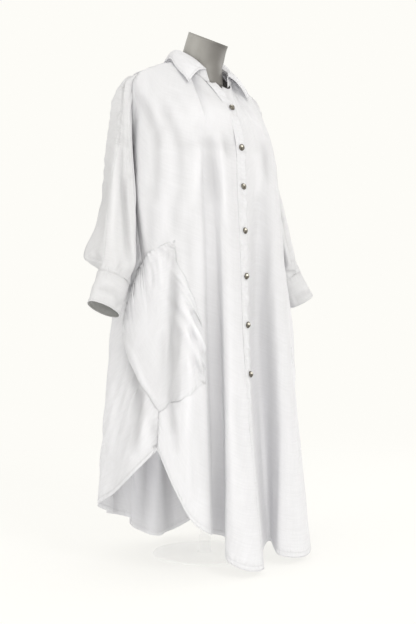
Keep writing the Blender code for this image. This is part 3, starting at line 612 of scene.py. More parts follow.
def cloth(name, grid, stitched=(), gathered=(), wall=WALL, closed=False, painted_shading=None, inner=None):
    """Cloth over a grid. Stitched holds (distance from a line of stitches, run along it), gathered
    the same for seams whose cloth is puckered. The height of its creases in mm comes next; from it
    shade is painted into its troughs and highlight onto its ridges. Inner is the material of its
    inner face, a darker linen with painted shade. The grid is the outer face."""
    painted_shading = np.zeros(grid.shape[:2]) if painted_shading is None else painted_shading
    if closed:
        grid, painted_shading = wrapped(grid), wrapped(painted_shading)
    numbers = np.arange(grid[..., 0].size).reshape(grid.shape[:2])
    mesh = bpy.data.meshes.new(name)
    mesh.from_pydata(grid.reshape(-1, 3).tolist(), [], grid_faces(numbers).tolist())
    mesh.shade_smooth()

    def mark(words, values, kind="FLOAT", field="value"):
        stored = mesh.attributes.new(words, kind, "POINT")
        stored.data.foreach_set(field, np.ascontiguousarray(values, np.float32).reshape(-1))

    over = np.stack([*cloth_runs(grid), np.zeros(grid.shape[:2])], -1)
    mark("over_cloth", over, "FLOAT_VECTOR", "vector")
    mark("painted_shading", painted_shading)
    for words, lines in (("stitch", stitched), ("gather", gathered)):
        nearest = np.full(grid.shape[:2], 1.0)
        run = np.zeros(grid.shape[:2])
        for distance, along in lines:
            if closed:
                distance = wrapped(distance)
                along = np.concatenate([along, 2 * along[:, -1:] - along[:, -2:-1]], axis=1)
            nearer = np.abs(distance) < np.abs(nearest)
            nearest = np.where(nearer, distance, nearest)
            run = np.where(nearer, along, run)
        mark(words, nearest)
        mark(words + "_run", run)
    piece = placed(name + "_linen", mesh)
    mesh.materials.append(linen)
    shell = piece.modifiers.new("wall", "SOLIDIFY")
    shell.thickness = wall
    shell.offset = -1
    if inner:
        mesh.materials.append(inner)
        shell.material_offset = 1
    return piece


THREAD_PITCH = 0.0009
STITCH_PITCH = 0.0031
# How far each kind of unevenness stands out of the linen.
WEAVE_HEIGHT = 0.00003
SLUB_HEIGHT = 0.00013
BAND_HEIGHT = 0.00012
SOFT_HEIGHT = 0.0014
SMALL_HEIGHT = 0.00028
GATHER_HEIGHT = 0.0034
GROOVE_DEPTH = 0.00035
STITCH_HEIGHT = 0.00045
TROUGH_PAINTED_SHADE = 0.68       # painted shade of a deep trough, and painted highlight of a high ridge, as brightness against flat linen
RIDGE_PAINTED_HIGHLIGHT = 1.08
LINEN_THROUGH = 0.38      # share of the light that the thin cloth lets through


def linen_cloth(name, light, shade):
    """White linen: plain weave with thicker threads here and there, soft small creases, puckers
    beside the gathered seams and rows of stitches, with shade painted into the troughs of its
    creases and highlight painted onto their ridges."""
    made, nodes = surface(name, Roughness=0.92, Specular_IOR_Level=0.18, Sheen_Weight=0.22,
                          Sheen_Roughness=0.45)
    over = nodes.stored("over_cloth", "Vector")
    stitch, stitch_run, gather, gather_run, painted_shading = (
        nodes.stored(words) for words in ("stitch", "stitch_run", "gather", "gather_run", "painted_shading"))
    across, along = (nodes.node("ShaderNodeSeparateXYZ", None, {0: over}, axis) for axis in "XY")
    thread = 2 * math.pi / THREAD_PITCH
    weave = (across * thread).wave() * (along * thread).wave()
    slub_up = over.stretched(1500, 42, 1).noise(1.0, 1.0)
    slub_over = over.stretched(36, 1300, 1).noise(1.0, 1.0)
    slubs = slub_up + slub_over - 1.0
    bands = (over.stretched(13, 230, 1).noise(1.0, 2.0)
             + over.stretched(150, 9, 1).noise(1.0, 2.0) * 0.5 - 0.75)
    # Painted shade in the troughs and painted highlight on the ridges, from the height of the creases in
    # mm.
    trough_painted_shade = (painted_shading * -0.075).maths("MAXIMUM", 0.0).maths("MINIMUM", PAINTED_SHADING_MOST)
    ridge_painted_highlight = (painted_shading * 0.10).maths("MAXIMUM", 0.0).maths("MINIMUM", PAINTED_SHADING_MOST)
    soft = over.stretched(30, 18, 1).noise(1.0, 3.0, 0.55) - 0.5
    small = over.noise(130.0, 2.0, 0.5) - 0.5
    beside = nodes.node("ShaderNodeCombineXYZ", None, {0: gather_run * 150, 1: gather * 45})
    pucker = (beside.noise(1.0, 1.5) - 0.5) * gather.size().fall(0.002, 0.022)
    groove = stitch.size().fall(0.0, 0.0022)
    dash = (stitch_run * (2 * math.pi / STITCH_PITCH)).wave().fall(-0.55, 0.25)
    sewn = stitch.size().fall(0.00035, 0.0006) * (1 - dash)
    height = (weave * WEAVE_HEIGHT + slubs * SLUB_HEIGHT + bands * BAND_HEIGHT + soft * SOFT_HEIGHT
              + small * SMALL_HEIGHT + pucker * GATHER_HEIGHT - groove * GROOVE_DEPTH
              + sewn * STITCH_HEIGHT)
    tone = (slubs * 0.8 + bands * 1.1 + soft * 0.5 + 0.5 - groove * 0.7
            + sewn * 0.3).maths("MAXIMUM", 0.0)
    colour = tone.maths("MINIMUM", 1.0).blend((*shade, 1), (*light, 1))
    colour = trough_painted_shade.blend(colour, tuple(TROUGH_PAINTED_SHADE * c for c in light) + (1,))
    colour = ridge_painted_highlight.blend(colour, tuple(min(RIDGE_PAINTED_HIGHLIGHT * c, 0.98) for c in light) + (1,))
    normal = height.bump(0.8)
    connect(made, Base_Color=colour, Roughness=0.88 + small * 0.25, Normal=normal)
    shader = made.node_tree.nodes["Principled BSDF"].outputs["BSDF"]
    through = nodes.node("ShaderNodeBsdfTranslucent", None, {"Color": colour, "Normal": normal})
    both = nodes.node("ShaderNodeMixShader", None,
                      {0: LINEN_THROUGH, 1: Channel(made.node_tree, shader), 2: through})
    made.node_tree.links.new(both.socket, made.node_tree.nodes["Material Output"].inputs["Surface"])
    return made


def open_shares(points, middle):
    """How far points beside the open neck are spread aside and lowered, as shares of the most."""
    share = np.clip((points[..., 2] - OPEN_FROM) / (NECK_FRONT[1] - OPEN_FROM), 0, 1)
    near = np.clip(1 - np.abs(points[..., 0] - middle) / OPEN_REACH, 0, 1)
    return share ** 1.1 * near * near * (3 - 2 * near), share ** 3 * near ** 2


def opened(grid, middle, side):
    """Front with its edge spread aside in the open neck."""
    out = grid.copy()
    aside, lower = open_shares(grid, middle[:, None, 0])
    out[..., 0] += side * (OPEN_SPREAD if side < 0 else OPEN_SPREAD_LEFT) * aside
    out[..., 2] -= OPEN_DROP * lower
    return out


def resampled(grid, places):
    """Each row's points at the given distances from its start."""
    return np.array([read_off(at, run, row) for at, run, row in zip(places, run_over(grid, 1), grid)])


def stands_for(piece, node):
    """Piece that takes the place of its CAD node."""
    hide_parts(node)
    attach(piece, "root")


def finished(piece, node):
    """Cloth piece that takes the place of its CAD node."""
    stands_for(piece, node)


linen = linen_cloth("linen", (0.887, 0.887, 0.908), (0.817, 0.817, 0.835))
# Darker linen for the inner faces of sleeves and cuffs: painted shade for the inside of the tubes, where
# little light gets in.
linen_painted_shade = linen_cloth("linen_painted_shade", (0.50, 0.50, 0.49), (0.42, 0.42, 0.41))

front_rows = panel_rows(FRONT_FOLDS, True)
front = panel(front_rows, FRONT_FOLDS, FRONT_STEPS, True)
fold_names = [fold[0] for fold in FRONT_FOLDS]
near, centre, far = (fold_names.index(words) * FRONT_STEPS
                     for words in ("placket_near", "centre", "placket_far"))
front_run = run_over(front, 1)
middle_run = front_run[:, centre]
half_placket = PLACKET_WIDTH / 2
to_edge = np.linspace(front_run[:, near], middle_run + half_placket, LAP_STEPS + 1, axis=1)
from_edge = np.linspace(middle_run - half_placket, front_run[:, far], LAP_STEPS + 1, axis=1)
right_places = np.concatenate([front_run[:, :near], to_edge], 1)
left_places = np.concatenate([from_edge, front_run[:, far + 1:]], 1)
right_grid = opened(resampled(front, right_places), front[:, centre], -1)
left_grid = opened(resampled(front, left_places), front[:, centre], 1)
neck_column = fold_names.index("ridge_near") * FRONT_STEPS - far + LAP_STEPS + 1
under = np.clip((neck_column - np.arange(left_grid.shape[1])) / (neck_column - LAP_STEPS), 0, 1)
left_grid = lifted(left_grid, -LAP * under[None])

HEM_RIM_HIGHLIGHT = (4.0, 0.0035)       # how bright the highlight painted on the hem's rolled edge is, and how wide in metres
LOW_SEAM = (0.465, 0.045)     # height and reach of the puckers between pocket and vent
SEAM_PUCKERS = (0.0011, 0.0050, 0.009, 0.011)     # height, more there, reach, period
HEM_REACH = 0.012             # how far the hem's ripples run up
HEM_NARROW = 1.6              # the puckered band of the hem against that of a seam
HEM_CALM = 0.1                # below this distance from the hem the cloth is less uneven


def sewn_panel(name, grid, painted_shading, runs, hem_height, hem_period, seed):
    """Front or back as cloth, puckered along its side seams and its hem. Runs are the distances
    across it, up it and from its side seam."""
    across, up, side = runs
    height, low_height, reach, period = SEAM_PUCKERS
    low_seam = np.exp(-((grid[..., 2] - LOW_SEAM[0]) / LOW_SEAM[1]) ** 2)
    grid, ripple = held_by_seams(grid, (
        (side, up, height + low_height * low_seam, reach, period, seed),
        (up, across, hem_height, HEM_REACH, hem_period, seed + 1)))
    # Highlight painted along the hem's rolled edge.
    painted_shading = painted_shading + HEM_RIM_HIGHLIGHT[0] * np.exp(-(up / HEM_RIM_HIGHLIGHT[1]) ** 2) + ripple
    return cloth(name, grid, [(up - HEM_STITCH, across)],
                 [(side, up), ((up - HEM_STITCH) * HEM_NARROW, across)], painted_shading=painted_shading)


for name, grid, flat, area, seed in (
        ("front_right", right_grid, (0.52, 1.17), 0.335, 14),
        ("front_left", left_grid, (0.70, 1.21), 0.435, 13)):
    across, up = cloth_runs(grid)
    side = across if name == "front_right" else across[:, -1:] - across
    grid = uneven(grid, across, up * 0.12, 0.05, 0.0007 * np.clip(up / HEM_CALM, 0.3, 1), seed)
    # Painted shade in the deep valleys: only the tone of these is kept, the cloth stays where it is.
    shade = creased(grid, VALLEY_PAINTED_SHADE)[1]
    grid, painted_shading = creased(grid, CHEST_CREASES + SIDE_CREASES)
    painted_shading = painted_shading + shade
    if name == "front_left":
        grid, far_painted_shading = creased(grid, CHEST_CREASES[:3] + SIDE_CREASES, mirrored=True)
        painted_shading = painted_shading + far_painted_shading
    piece = sewn_panel(name, grid, painted_shading, (across, up, side), 0.0008, 0.022, 5)
    finished(piece, name)

# ---------------------------------------------------------------- placket
# A band sewn down the edge of the right front with a row of stitches along each side. Between the
# buttons it is a little rippled.
PLACKET_WALL = 0.0011
PLACKET_LIFT = 0.0008
PLACKET_TUCK = 0.0002         # lift of its sewn edge
PLACKET_RISE = 0.35           # share of its width over which it rises from that edge
PLACKET_CALM_BELOW = 0.30     # height below which it lies flat
STITCH_INSET = 0.0016         # from the edge of a band or pocket
placket_steps = np.linspace(-half_placket, half_placket, 15)
placket = opened(resampled(front, middle_run[:, None] + placket_steps), front[:, centre], -1)
across, up = cloth_runs(placket)
far_stitch = PLACKET_WIDTH - STITCH_INSET - across
from_sewn_edge = np.clip(across / PLACKET_WIDTH / PLACKET_RISE, 0, 1)
lift = PLACKET_TUCK + (PLACKET_LIFT - PLACKET_TUCK) * from_sewn_edge
puckering = np.clip((placket[..., 2] - PLACKET_CALM_BELOW) / 0.12, 0.15, 1) * from_sewn_edge
for height, period, seed in ((0.0046, 0.033, 11), (0.0022, 0.015, 12)):
    lift = lift + height / 2 * puckering * (1 + ripples(up + across * 0.45, period, seed))
placket = lifted(placket, lift)
placket_piece = cloth("placket", placket, [(far_stitch, up)],
                      [(across - STITCH_INSET, up), (far_stitch, up)], wall=PLACKET_WALL)
finished(placket_piece, "placket")

# ---------------------------------------------------------------- buttons
# Seven domed buttons of dark aged metal, with a highlight painted bright near the top of each dome.
BUTTON_RADIUS = 0.0076
BUTTON_DOME = 0.0068
BUTTON_SEAT = 0.0009          # above the placket's outer face
BUTTON_HIGHLIGHT = (-0.0036, 0.0036, BUTTON_DOME)      # where a highlight is painted bright on its metal
BUTTON_HEIGHTS = (1.057, 0.960, 0.868, 0.766, 0.662, 0.551, 0.439)
BUTTON_PROFILE = (
    # share of the radius, share of the height
    (0.0, -0.10), (0.80, -0.10), (0.93, -0.02), (0.985, 0.10), (1.0, 0.20), (0.985, 0.30),
    (0.95, 0.36), (0.91, 0.37), (0.87, 0.40), (0.78, 0.56), (0.64, 0.74), (0.46, 0.89),
    (0.24, 0.975), (0.0, 1.0),
)


def lathe(name, profile, sides):
    """Round mesh from a profile of (radius, height)."""
    mesh = bpy.data.meshes.new(name)
    points, faces = [], []
    for radius, height in profile:
        for k in range(sides):
            turn = 2 * math.pi * k / sides
            points.append((radius * math.cos(turn), radius * math.sin(turn), height))
    for r in range(len(profile) - 1):
        for k in range(sides):
            a, b = r * sides + k, r * sides + (k + 1) % sides
            if profile[r][0] == 0:
                faces.append((a, b + sides, a + sides))
            elif profile[r + 1][0] == 0:
                faces.append((a, b, a + sides))
            else:
                faces.append((a, b, b + sides, a + sides))
    mesh.from_pydata(points, [], faces)
    mesh.validate()
    mesh.shade_smooth()
    return mesh


aged_metal, nodes = surface("aged_metal", Metallic=1.0, Roughness=0.3)
place = nodes.place()
patina = place.noise(420.0, 4.0, 0.6).fall(0.36, 0.62)
fine_scratches = place.stretched(900, 5200, 900).noise(1.0, 2.0)
# Painted highlight: a bright spot on the metal near the top of the dome.
painted_highlight = (place.vector("DISTANCE", BUTTON_HIGHLIGHT) * 1000).fall(0.6, 5.4)
tone = (patina * 0.25 + painted_highlight * 0.85).maths("MINIMUM", 1.0)
connect(aged_metal, Base_Color=tone.blend((0.060, 0.052, 0.040, 1), (0.90, 0.86, 0.76, 1)),
        Roughness=0.24 + patina * 0.16 + fine_scratches * 0.08,
        Normal=(fine_scratches * 0.00002 + patina * 0.00003).bump(0.6))

button_shape = lathe("button", [(r * BUTTON_RADIUS, h * BUTTON_DOME) for r, h in BUTTON_PROFILE], 48)
button_shape.materials.append(aged_metal)
on_placket = placket[:, 7]
placket_normals = grid_normals(placket)[:, 7]
for number, height in enumerate(BUTTON_HEIGHTS, 1):
    point = read_off(height, on_placket[:, 2], on_placket)
    normal = read_off(height, on_placket[:, 2], placket_normals)
    button = placed(f"button_{number}_metal", button_shape)
    button.location = point + normal / np.linalg.norm(normal) * BUTTON_SEAT
    button.rotation_euler = Vector(normal).to_track_quat("Z", "Y").to_euler()
    stands_for(button, f"button_{number}")

# ---------------------------------------------------------------- back
# The back falls in six rounded folds from the shoulders to a hem that is lowest in the middle.
BACK_STEPS = 12
BACK_FOLDS = (
    ("seam_right", 0.276, (63.2, 0), (60.2, 0), (92.2, 0), (118, 0), 0.00),
    ("side_1", 0.215, (78, 6), (78, 5), (100, 3), (124, 2), 0.06),
    ("side_2", 0.170, (97, -6), (96, -3), (110, 0), (131, 0), 0.13),
    ("fold_1", 0.135, (114, 14), (112, 9), (121, 4), (139, 2), 0.22),
    ("valley_1", 0.107, (130, -24), (128, -14), (133, -5), (147, -2), 0.30),
    ("fold_2", 0.095, (143, 8), (142, 5), (145, 3), (155, 1), 0.38),
    ("valley_2", 0.078, (155, -24), (155, -14), (157, -5), (163, -2), 0.42),
    ("fold_3", 0.042, (168, 10), (168, 6), (169, 3), (172, 2), 0.46),
    ("centre", 0.015, (180, -18), (180, -10), (180, -3), (180, -1), 0.50),
    ("fold_4", 0.012, (193, 10), (192, 6), (191, 3), (188, 2), 0.54),
    ("valley_3", 0.050, (206, -22), (205, -14), (203, -5), (197, -2), 0.58),
    ("fold_5", 0.085, (219, 10), (218, 6), (215, 3), (205, 1), 0.62),
    ("valley_4", 0.130, (233, -20), (232, -12), (227, -4), (213, 0), 0.72),
    ("fold_6", 0.180, (248, 10), (247, 6), (239, 2), (221, 1), 0.80),
    ("side_3", 0.225, (262, -4), (261, -2), (254, 0), (231, 0), 0.90),
    ("seam_left", 0.270, (275.8, 0), (273.8, 0), (267.8, 0), (242, 0), 1.00),
)
# Folds of the back seen from outside beside the pocket, and from inside under the side vent.
BACK_CREASES = (
    # depth, width, points
    (-12, 6.5, 124, 340, 131, 368, 137, 395, 136, 425, 132, 455),
    (4, 5, 115, 380, 114, 413, 112, 460),
    (4, 5, 142, 415, 143, 435, 141, 455),
    (-4, 4, 152, 420, 155, 435, 157, 448),
)
BACK_INSIDE_CREASES = (
    # depth, width, points
    (9, 5, 162, 330, 157, 420, 153, 480, 151, 520, 152, 580),
    (-8, 5, 158, 330, 162, 420, 167, 485, 170, 570),
    (-4.5, 4, 150, 360, 147, 430, 145, 475, 143, 530),
    (6, 6, 142, 360, 137, 440, 133, 490, 130, 560),
    (-5, 5, 120, 400, 117, 480, 116, 500, 113, 570),
)

back_rows = panel_rows(BACK_FOLDS, False)
for column in (0, -1):
    back_rows[:SKIRT_ROWS + 1, column] = front_rows[:SKIRT_ROWS + 1, column]
back = panel(back_rows, BACK_FOLDS, BACK_STEPS, False)[:, ::-1]
across, up = cloth_runs(back)
back = uneven(back, across, up * 0.12, 0.06, 0.0010 * np.clip(up / HEM_CALM, 0.3, 1), 21)
back_painted_shading = 0
for creases, mirrored, inside in ((BACK_CREASES, False, False), (BACK_INSIDE_CREASES, False, True),
                                  (BACK_CREASES, True, False)):
    back, pressed = creased(back, creases, mirrored, inside=inside)
    back_painted_shading = back_painted_shading + pressed
back_piece = sewn_panel("back", back, back_painted_shading, (across, up, from_ends(across)), 0.0009, 0.024, 22)
finished(back_piece, "back")

# ---------------------------------------------------------------- sleeves
# Each wide sleeve hangs from the dropped shoulder, folded to a crease down its outer side and a
# flared edge at the back, and is gathered into the cuff.
SLEEVE_STEPS = 12
CREASE_RIM_HIGHLIGHT = (3.0, 0.003)     # how bright the highlight painted along the outer crease's edge is, and how wide in metres
SLEEVE_AROUND = 6
SLEEVE_ROUNDING = 0.004       # of its front and back faces
SLEEVE_LOOP_STEPS = 12
SLEEVE_END = (-0.008, -0.0002)    # its last rows, above the cuff's top edge
CREASE_FROM = 0.90            # the outer crease is sewn and gathered above this height
BEYOND_REACH = 0.05           # far enough from a seam for neither stitch nor ripple
CREASE_STITCH = 0.0015
SLEEVE = (
    # outer z, inner z, inner x, inner y, inner front y, ridge x, ridge y, fin x, fin y, inner back y
    (1.110, 0.850, 0.2175, 0.010, 0.004, 0.2120, 0.037, 0.2300, 0.058, 0.084),
    (1.045, 0.833, 0.2210, 0.014, -0.008, 0.2290, 0.031, 0.2385, 0.063, 0.080),
    (0.960, 0.810, 0.2244, 0.018, -0.016, 0.2440, 0.022, 0.2488, 0.066, 0.078),
    (0.880, 0.780, 0.2296, 0.020, -0.024, 0.2658, 0.014, 0.2555, 0.066, 0.072),
    (0.790, 0.730, 0.2380, 0.014, -0.034, 0.2885, 0.004, 0.2753, 0.062, 0.062),
    (0.705, 0.685, 0.2450, 0.002, -0.042, 0.3049, -0.006, 0.3136, 0.056, 0.048),
)
SLEEVE_CORNER_SHARES = (0, 0.17, 0.33, 0.5, 0.67, 0.78, 0.88, 1.0)
# The left sleeve hangs a little higher and further out at the cuff: height, shift out, lift.
LEFT_SHIFT = ((0.55, 0.014, 0.024), (0.66, 0.004, 0.018), (0.76, -0.004, 0.008), (0.88, 0, 0),
              (1.2, 0, 0))
CUFF_TOP = (0.2770, -0.004, 0.655)
CUFF_FALL = (0.50, -0.13, -1.0)
CUFF_HALF_WIDTH = 0.041
CUFF_HALF_DEPTH = 0.029
SLEEVE_CREASES = (
    # depth, width, points
    (-2.4, 3, 120, 133, 124, 141, 128, 149),
    (-1.5, 2.6, 121, 118, 123, 125, 125, 131),
    (-7.5, 3, 120, 140, 121, 168, 124, 200, 126, 230, 128, 264),
    (6, 4.6, 116, 140, 114, 195, 112, 230, 111, 270),
    (-1.6, 2.6, 126, 172, 129, 176, 133, 179),
    (-2.2, 2.6, 107, 182, 105, 194, 102, 208),
    (1.4, 3, 103, 208, 98, 228, 92, 250),
    (-1.2, 2.6, 128, 96, 126, 106, 124, 118),
    (-1.6, 2.2, 111, 246, 112, 258, 112, 272),
    (-1.2, 2.2, 119, 252, 120, 264, 121, 278),
    (1.2, 2.2, 116, 250, 116, 262, 117, 276),
    (-1.2, 2.2, 97, 246, 96, 256, 95, 268),
)


def ring_runs(grid):
    """Distance of each point round its row, up its column, and round the whole row."""
    around = run_over(wrapped(grid), 1)
    return around[:, :-1], run_over(grid, 0), around[:, -1:]


def other_way_round(grid):
    """Closed grid with its columns in the other order, from the same first one."""
    return np.concatenate([grid[:, :1], grid[:, :0:-1]], axis=1)


def hung(points, side):
    """Points of a sleeve drawn for |x|, placed on the wearer's right (-1) or left (1)."""
    out = points.copy()
    out[:, 0] *= side
    if side > 0:
        shift = smooth_table(LEFT_SHIFT, points[:, 2])
        out[:, 0] += shift[:, 0]
        out[:, 2] += shift[:, 1]
    return out


def cuff_ring(down, count, start=0.0):
    """Section of the cuff a distance down its fall, from its outer side over the front."""
    fall = np.array(CUFF_FALL) / np.linalg.norm(CUFF_FALL)
    outwards = np.array([1.0, 0, 0]) - fall * fall[0]
    outwards /= np.linalg.norm(outwards)
    forwards = np.cross(fall, outwards)
    turns = (np.arange(count) / count + start) * 2 * math.pi
    return (np.array(CUFF_TOP) + fall * down + np.outer(np.cos(turns), outwards) * CUFF_HALF_WIDTH
            + np.outer(np.sin(turns), forwards) * CUFF_HALF_DEPTH)


def sleeve_grid(side, column):
    """Sleeve from the armhole edge down to the cuff, columns from the shoulder tip over the front."""
    ring = np.concatenate([front_rows[:SKIRT_ROWS - 1:-1, column],
                           back_rows[SKIRT_ROWS + 1:-1, column]])
    ring = smooth_line(ring, SLEEVE_AROUND, closed=True)
    count = len(ring)
    turns = np.arange(count) / count
    rows = [ring]
    for z_out, z_in, in_x, in_y, in_front, ridge_x, ridge_y, fin_x, fin_y, in_back in SLEEVE:
        mid = in_x + (ridge_x - in_x) * 0.5
        corners = [(ridge_x, ridge_y), (mid, (ridge_y + in_front) / 2 - SLEEVE_ROUNDING),
                   (in_x, in_front), (in_x - 0.001, in_y), (in_x, in_back),
                   ((in_x + fin_x) / 2, (in_back + fin_y) / 2 + SLEEVE_ROUNDING), (fin_x, fin_y)]
        loop = smooth_line([(x, y, 0) for x, y in corners], SLEEVE_LOOP_STEPS)
        loop = np.concatenate([loop, np.linspace(loop[-1], loop[0], SLEEVE_LOOP_STEPS + 1)[1:]])
        place = np.interp(turns, SLEEVE_CORNER_SHARES, np.arange(8) * SLEEVE_LOOP_STEPS)
        at = read_off(place, np.arange(len(loop)), loop)
        at[:, 2] = z_in + (z_out - z_in) * (1 + np.cos(turns * 2 * math.pi)) / 2
        rows.append(hung(at, side))
    rows += [hung(cuff_ring(down, count), side) for down in SLEEVE_END]
    return smooth_line(rows, SLEEVE_STEPS)


for side, word, column in ((-1, "right", 0), (1, "left", -1)):
    grid = sleeve_grid(side, column)
    if side > 0:
        grid = other_way_round(grid)
    grid = grid[::-1]
    across, up, around = ring_runs(grid)
    top = up[-1:] - up
    crease = np.minimum(across, around - across)
    high = np.clip((grid[..., 2] - CREASE_FROM) / 0.06, 0, 1)
    seam = crease + BEYOND_REACH * (1 - high)
    grid = uneven(grid, across, top * 0.2, 0.045, 0.0008, 31, True)
    grid, painted_shading = creased(grid, SLEEVE_CREASES, mirrored=side > 0, closed=True)
    grid, ripple = held_by_seams(grid, (
        (seam, top, 0.0024, 0.005, 0.0085, 32),
        (up, across, 0.0014, 0.008, 0.0105, 33),
        (up, across + up * 0.3, 0.0012, 0.024, 0.027, 34),
        (top, across, 0.0009, 0.006, 0.011, 35)), True)
    # Highlight painted along the edge of the outer crease, above the height where it is sewn.
    painted_shading = painted_shading + ripple + CREASE_RIM_HIGHLIGHT[0] * high * np.exp(-(crease / CREASE_RIM_HIGHLIGHT[1]) ** 2)
    piece = cloth(f"sleeve_{word}", grid, [(top - CREASE_STITCH, across), (seam - CREASE_STITCH, top)],
                  [(top, across), (up, across), (seam, top)], closed=True, painted_shading=painted_shading,
                  inner=linen_painted_shade)
    finished(piece, f"sleeve_{word}")

# ---------------------------------------------------------------- cuffs
# A band round each wrist, open at its lower edge, a little wrinkled.
CUFF_DEPTH = 0.078
CUFF_ROWS = 30
CUFF_SIDES = 120
BAND_WALL = 0.0014            # cuffs and collar are double cloth
CUFF_CREASES = (
    # depth, width, points
    (-3, 3, 95, 288, 105, 289, 114, 294),
    (2, 2.6, 100, 282, 110, 284, 120, 290),
    (-2, 2.4, 95, 297, 104, 300, 114, 306),
    (-3, 3.4, 112, 286, 117, 296, 120, 308),
    (-2, 2.6, 113, 309, 119, 306, 125, 300),
)
for side, word in ((-1, "right"), (1, "left")):
    grid = np.array([hung(cuff_ring(CUFF_DEPTH * (1 - k / CUFF_ROWS), CUFF_SIDES, 0.5), side)
                     for k in range(CUFF_ROWS + 1)])
    if side > 0:
        grid = other_way_round(grid)
    across, up, _ = ring_runs(grid)
    top = up[-1:] - up
    grid = uneven(grid, up, across * 0.8, 0.07, 0.0006, 41 + side, True)
    grid, painted_shading = creased(grid, CUFF_CREASES, mirrored=side > 0, closed=True)
    grid, _ = held_by_seams(grid, ((top, across, 0.0013, 0.006, 0.0095, 42),
                                   (up, across, 0.0006, 0.006, 0.014, 43)), True)
    piece = cloth(f"cuff_{word}", grid, [(up - 0.0045, across), (top - 0.002, across)],
                  [(top, across), (up, across)], wall=BAND_WALL, closed=True, painted_shading=painted_shading,
                  inner=linen_painted_shade)
    finished(piece, f"cuff_{word}")

# ---------------------------------------------------------------- pockets
# A large soft pocket on each side, its five edges gathered: a short top edge, a long edge to the
# front, two edges that meet in a point below, and the hand opening at the back.
POCKET_TOP_FRONT = (2.0, 0.742)
POCKET_LOW_FRONT = (2.9, 0.421)
POCKET_POINT = (0.0, 0.358)
POCKET_LOW_BACK = (-1.85, 0.520)
POCKET_TOP_BACK = (-0.35, 0.680)
POCKET_POINT_SHARE = 0.45     # of the low edge, from its back end
# Fold on which its front edge lies, from the low corner (0) to the top one (1).
POCKET_FRONT_EDGE = ((0, 3), (0.16, 3.05), (0.33, 3), (0.51, 2.68), (0.67, 2.32), (0.87, 2), (1, 2))
POCKET_WIDTH = 0.30
POCKET_HEIGHT = 0.34
POCKET_PUFF = 0.011
POCKET_MOUTH = 0.012          # how far its hand opening stands out
POCKET_MOUTH_SHARE = 0.3      # of its width
POCKET_COLUMNS = 120
POCKET_ROWS = 132
POCKET_GAP = 0.0016
POCKET_RIM = 0.006            # its edge is turned in over this width
POCKET_RIM_DEPTH = 0.0010
POCKET_LEVELS = (0.33, 0.77, 89)      # heights at which the folds under it are worked out
POCKET_FOLD_STEPS = 8
SEAM_FOLD = 3                 # place of the side seam among those folds
POCKET_FULL_BELOW = 0.66      # the gathers of its front edge are full below this height
POCKET_CALM = 0.06            # and fade this close to its low edge
LEFT_PUCKERS = 0.25           # share of the right pocket's gathers that the left one has in front
POCKET_CREASES = (
    # depth, width, points
    (3, 2.6, 124, 338, 133, 356, 144, 384, 158, 407),
    (4, 3, 187, 296, 193, 318, 198, 345, 200, 372),
    (-3, 2.4, 150, 262, 152, 275, 152, 290),
    (3, 2.6, 158, 250, 160, 268, 161, 290),
    (-3, 2, 166, 242, 168, 252, 168, 266),
)


def pocket_grid(side):
    """Pocket laid over the side folds, rows from its low edge up."""
    if side < 0:
        folds = BACK_FOLDS[SEAM_FOLD:0:-1] + FRONT_FOLDS[:5]
    else:
        folds = BACK_FOLDS[-1 - SEAM_FOLD:-1] + FRONT_FOLDS[:-6:-1]
    levels = np.linspace(*POCKET_LEVELS)
    lines = np.array([smooth_line([fold_point(fold, z) for fold in folds], POCKET_FOLD_STEPS)
                      for z in levels])
    along = np.linspace(0, 1, POCKET_COLUMNS + 1)[None, :, None]
    up = np.linspace(0, 1, POCKET_ROWS + 1)[:, None, None]
    first = np.clip(along / POCKET_POINT_SHARE, 0, 1)
    second = np.clip((along - POCKET_POINT_SHARE) / (1 - POCKET_POINT_SHARE), 0, 1)
    back_low, point, front_low = np.array((POCKET_LOW_BACK, POCKET_POINT, POCKET_LOW_FRONT))
    low = back_low + (point - back_low) * first + (front_low - point) * second
    high = np.array(POCKET_TOP_BACK) * (1 - along) + np.array(POCKET_TOP_FRONT) * along
    at = low * (1 - up) + high * up
    straight = POCKET_LOW_FRONT[0] * (1 - up[:, 0]) + POCKET_TOP_FRONT[0] * up[:, 0]
    at[..., 0] += along[..., 0] ** 3 * (smooth_table(POCKET_FRONT_EDGE, up[:, 0, 0]) - straight)
    row = (at[..., 1] - levels[0]) / (levels[1] - levels[0])
    column = (at[..., 0] + SEAM_FOLD) * POCKET_FOLD_STEPS
    r, c = row.astype(int), np.clip(column.astype(int), 0, lines.shape[1] - 2)
    r_share, c_share = (row - r)[..., None], (column - c)[..., None]
    grid = ((lines[r, c] * (1 - c_share) + lines[r, c + 1] * c_share) * (1 - r_share)
            + (lines[r + 1, c] * (1 - c_share) + lines[r + 1, c + 1] * c_share) * r_share)
    inside = np.sin(math.pi * along) * np.sin(math.pi * up)
    puff = POCKET_PUFF * inside ** 0.8
    mouth = POCKET_MOUTH * np.clip(1 - along / POCKET_MOUTH_SHARE, 0, 1) * np.sin(math.pi * up)
    edge = np.minimum(np.minimum(along, 1 - along) * POCKET_WIDTH,
                      np.minimum(up, 1 - up) * POCKET_HEIGHT)
    rim = np.clip(edge / POCKET_RIM, 0, 1)
    lift = (POCKET_GAP + POCKET_RIM_DEPTH) * rim * (2 - rim) - POCKET_RIM_DEPTH + puff + mouth
    if side > 0:
        grid, lift = grid[:, ::-1], lift[:, ::-1]
    return lifted(grid, lift[..., 0])


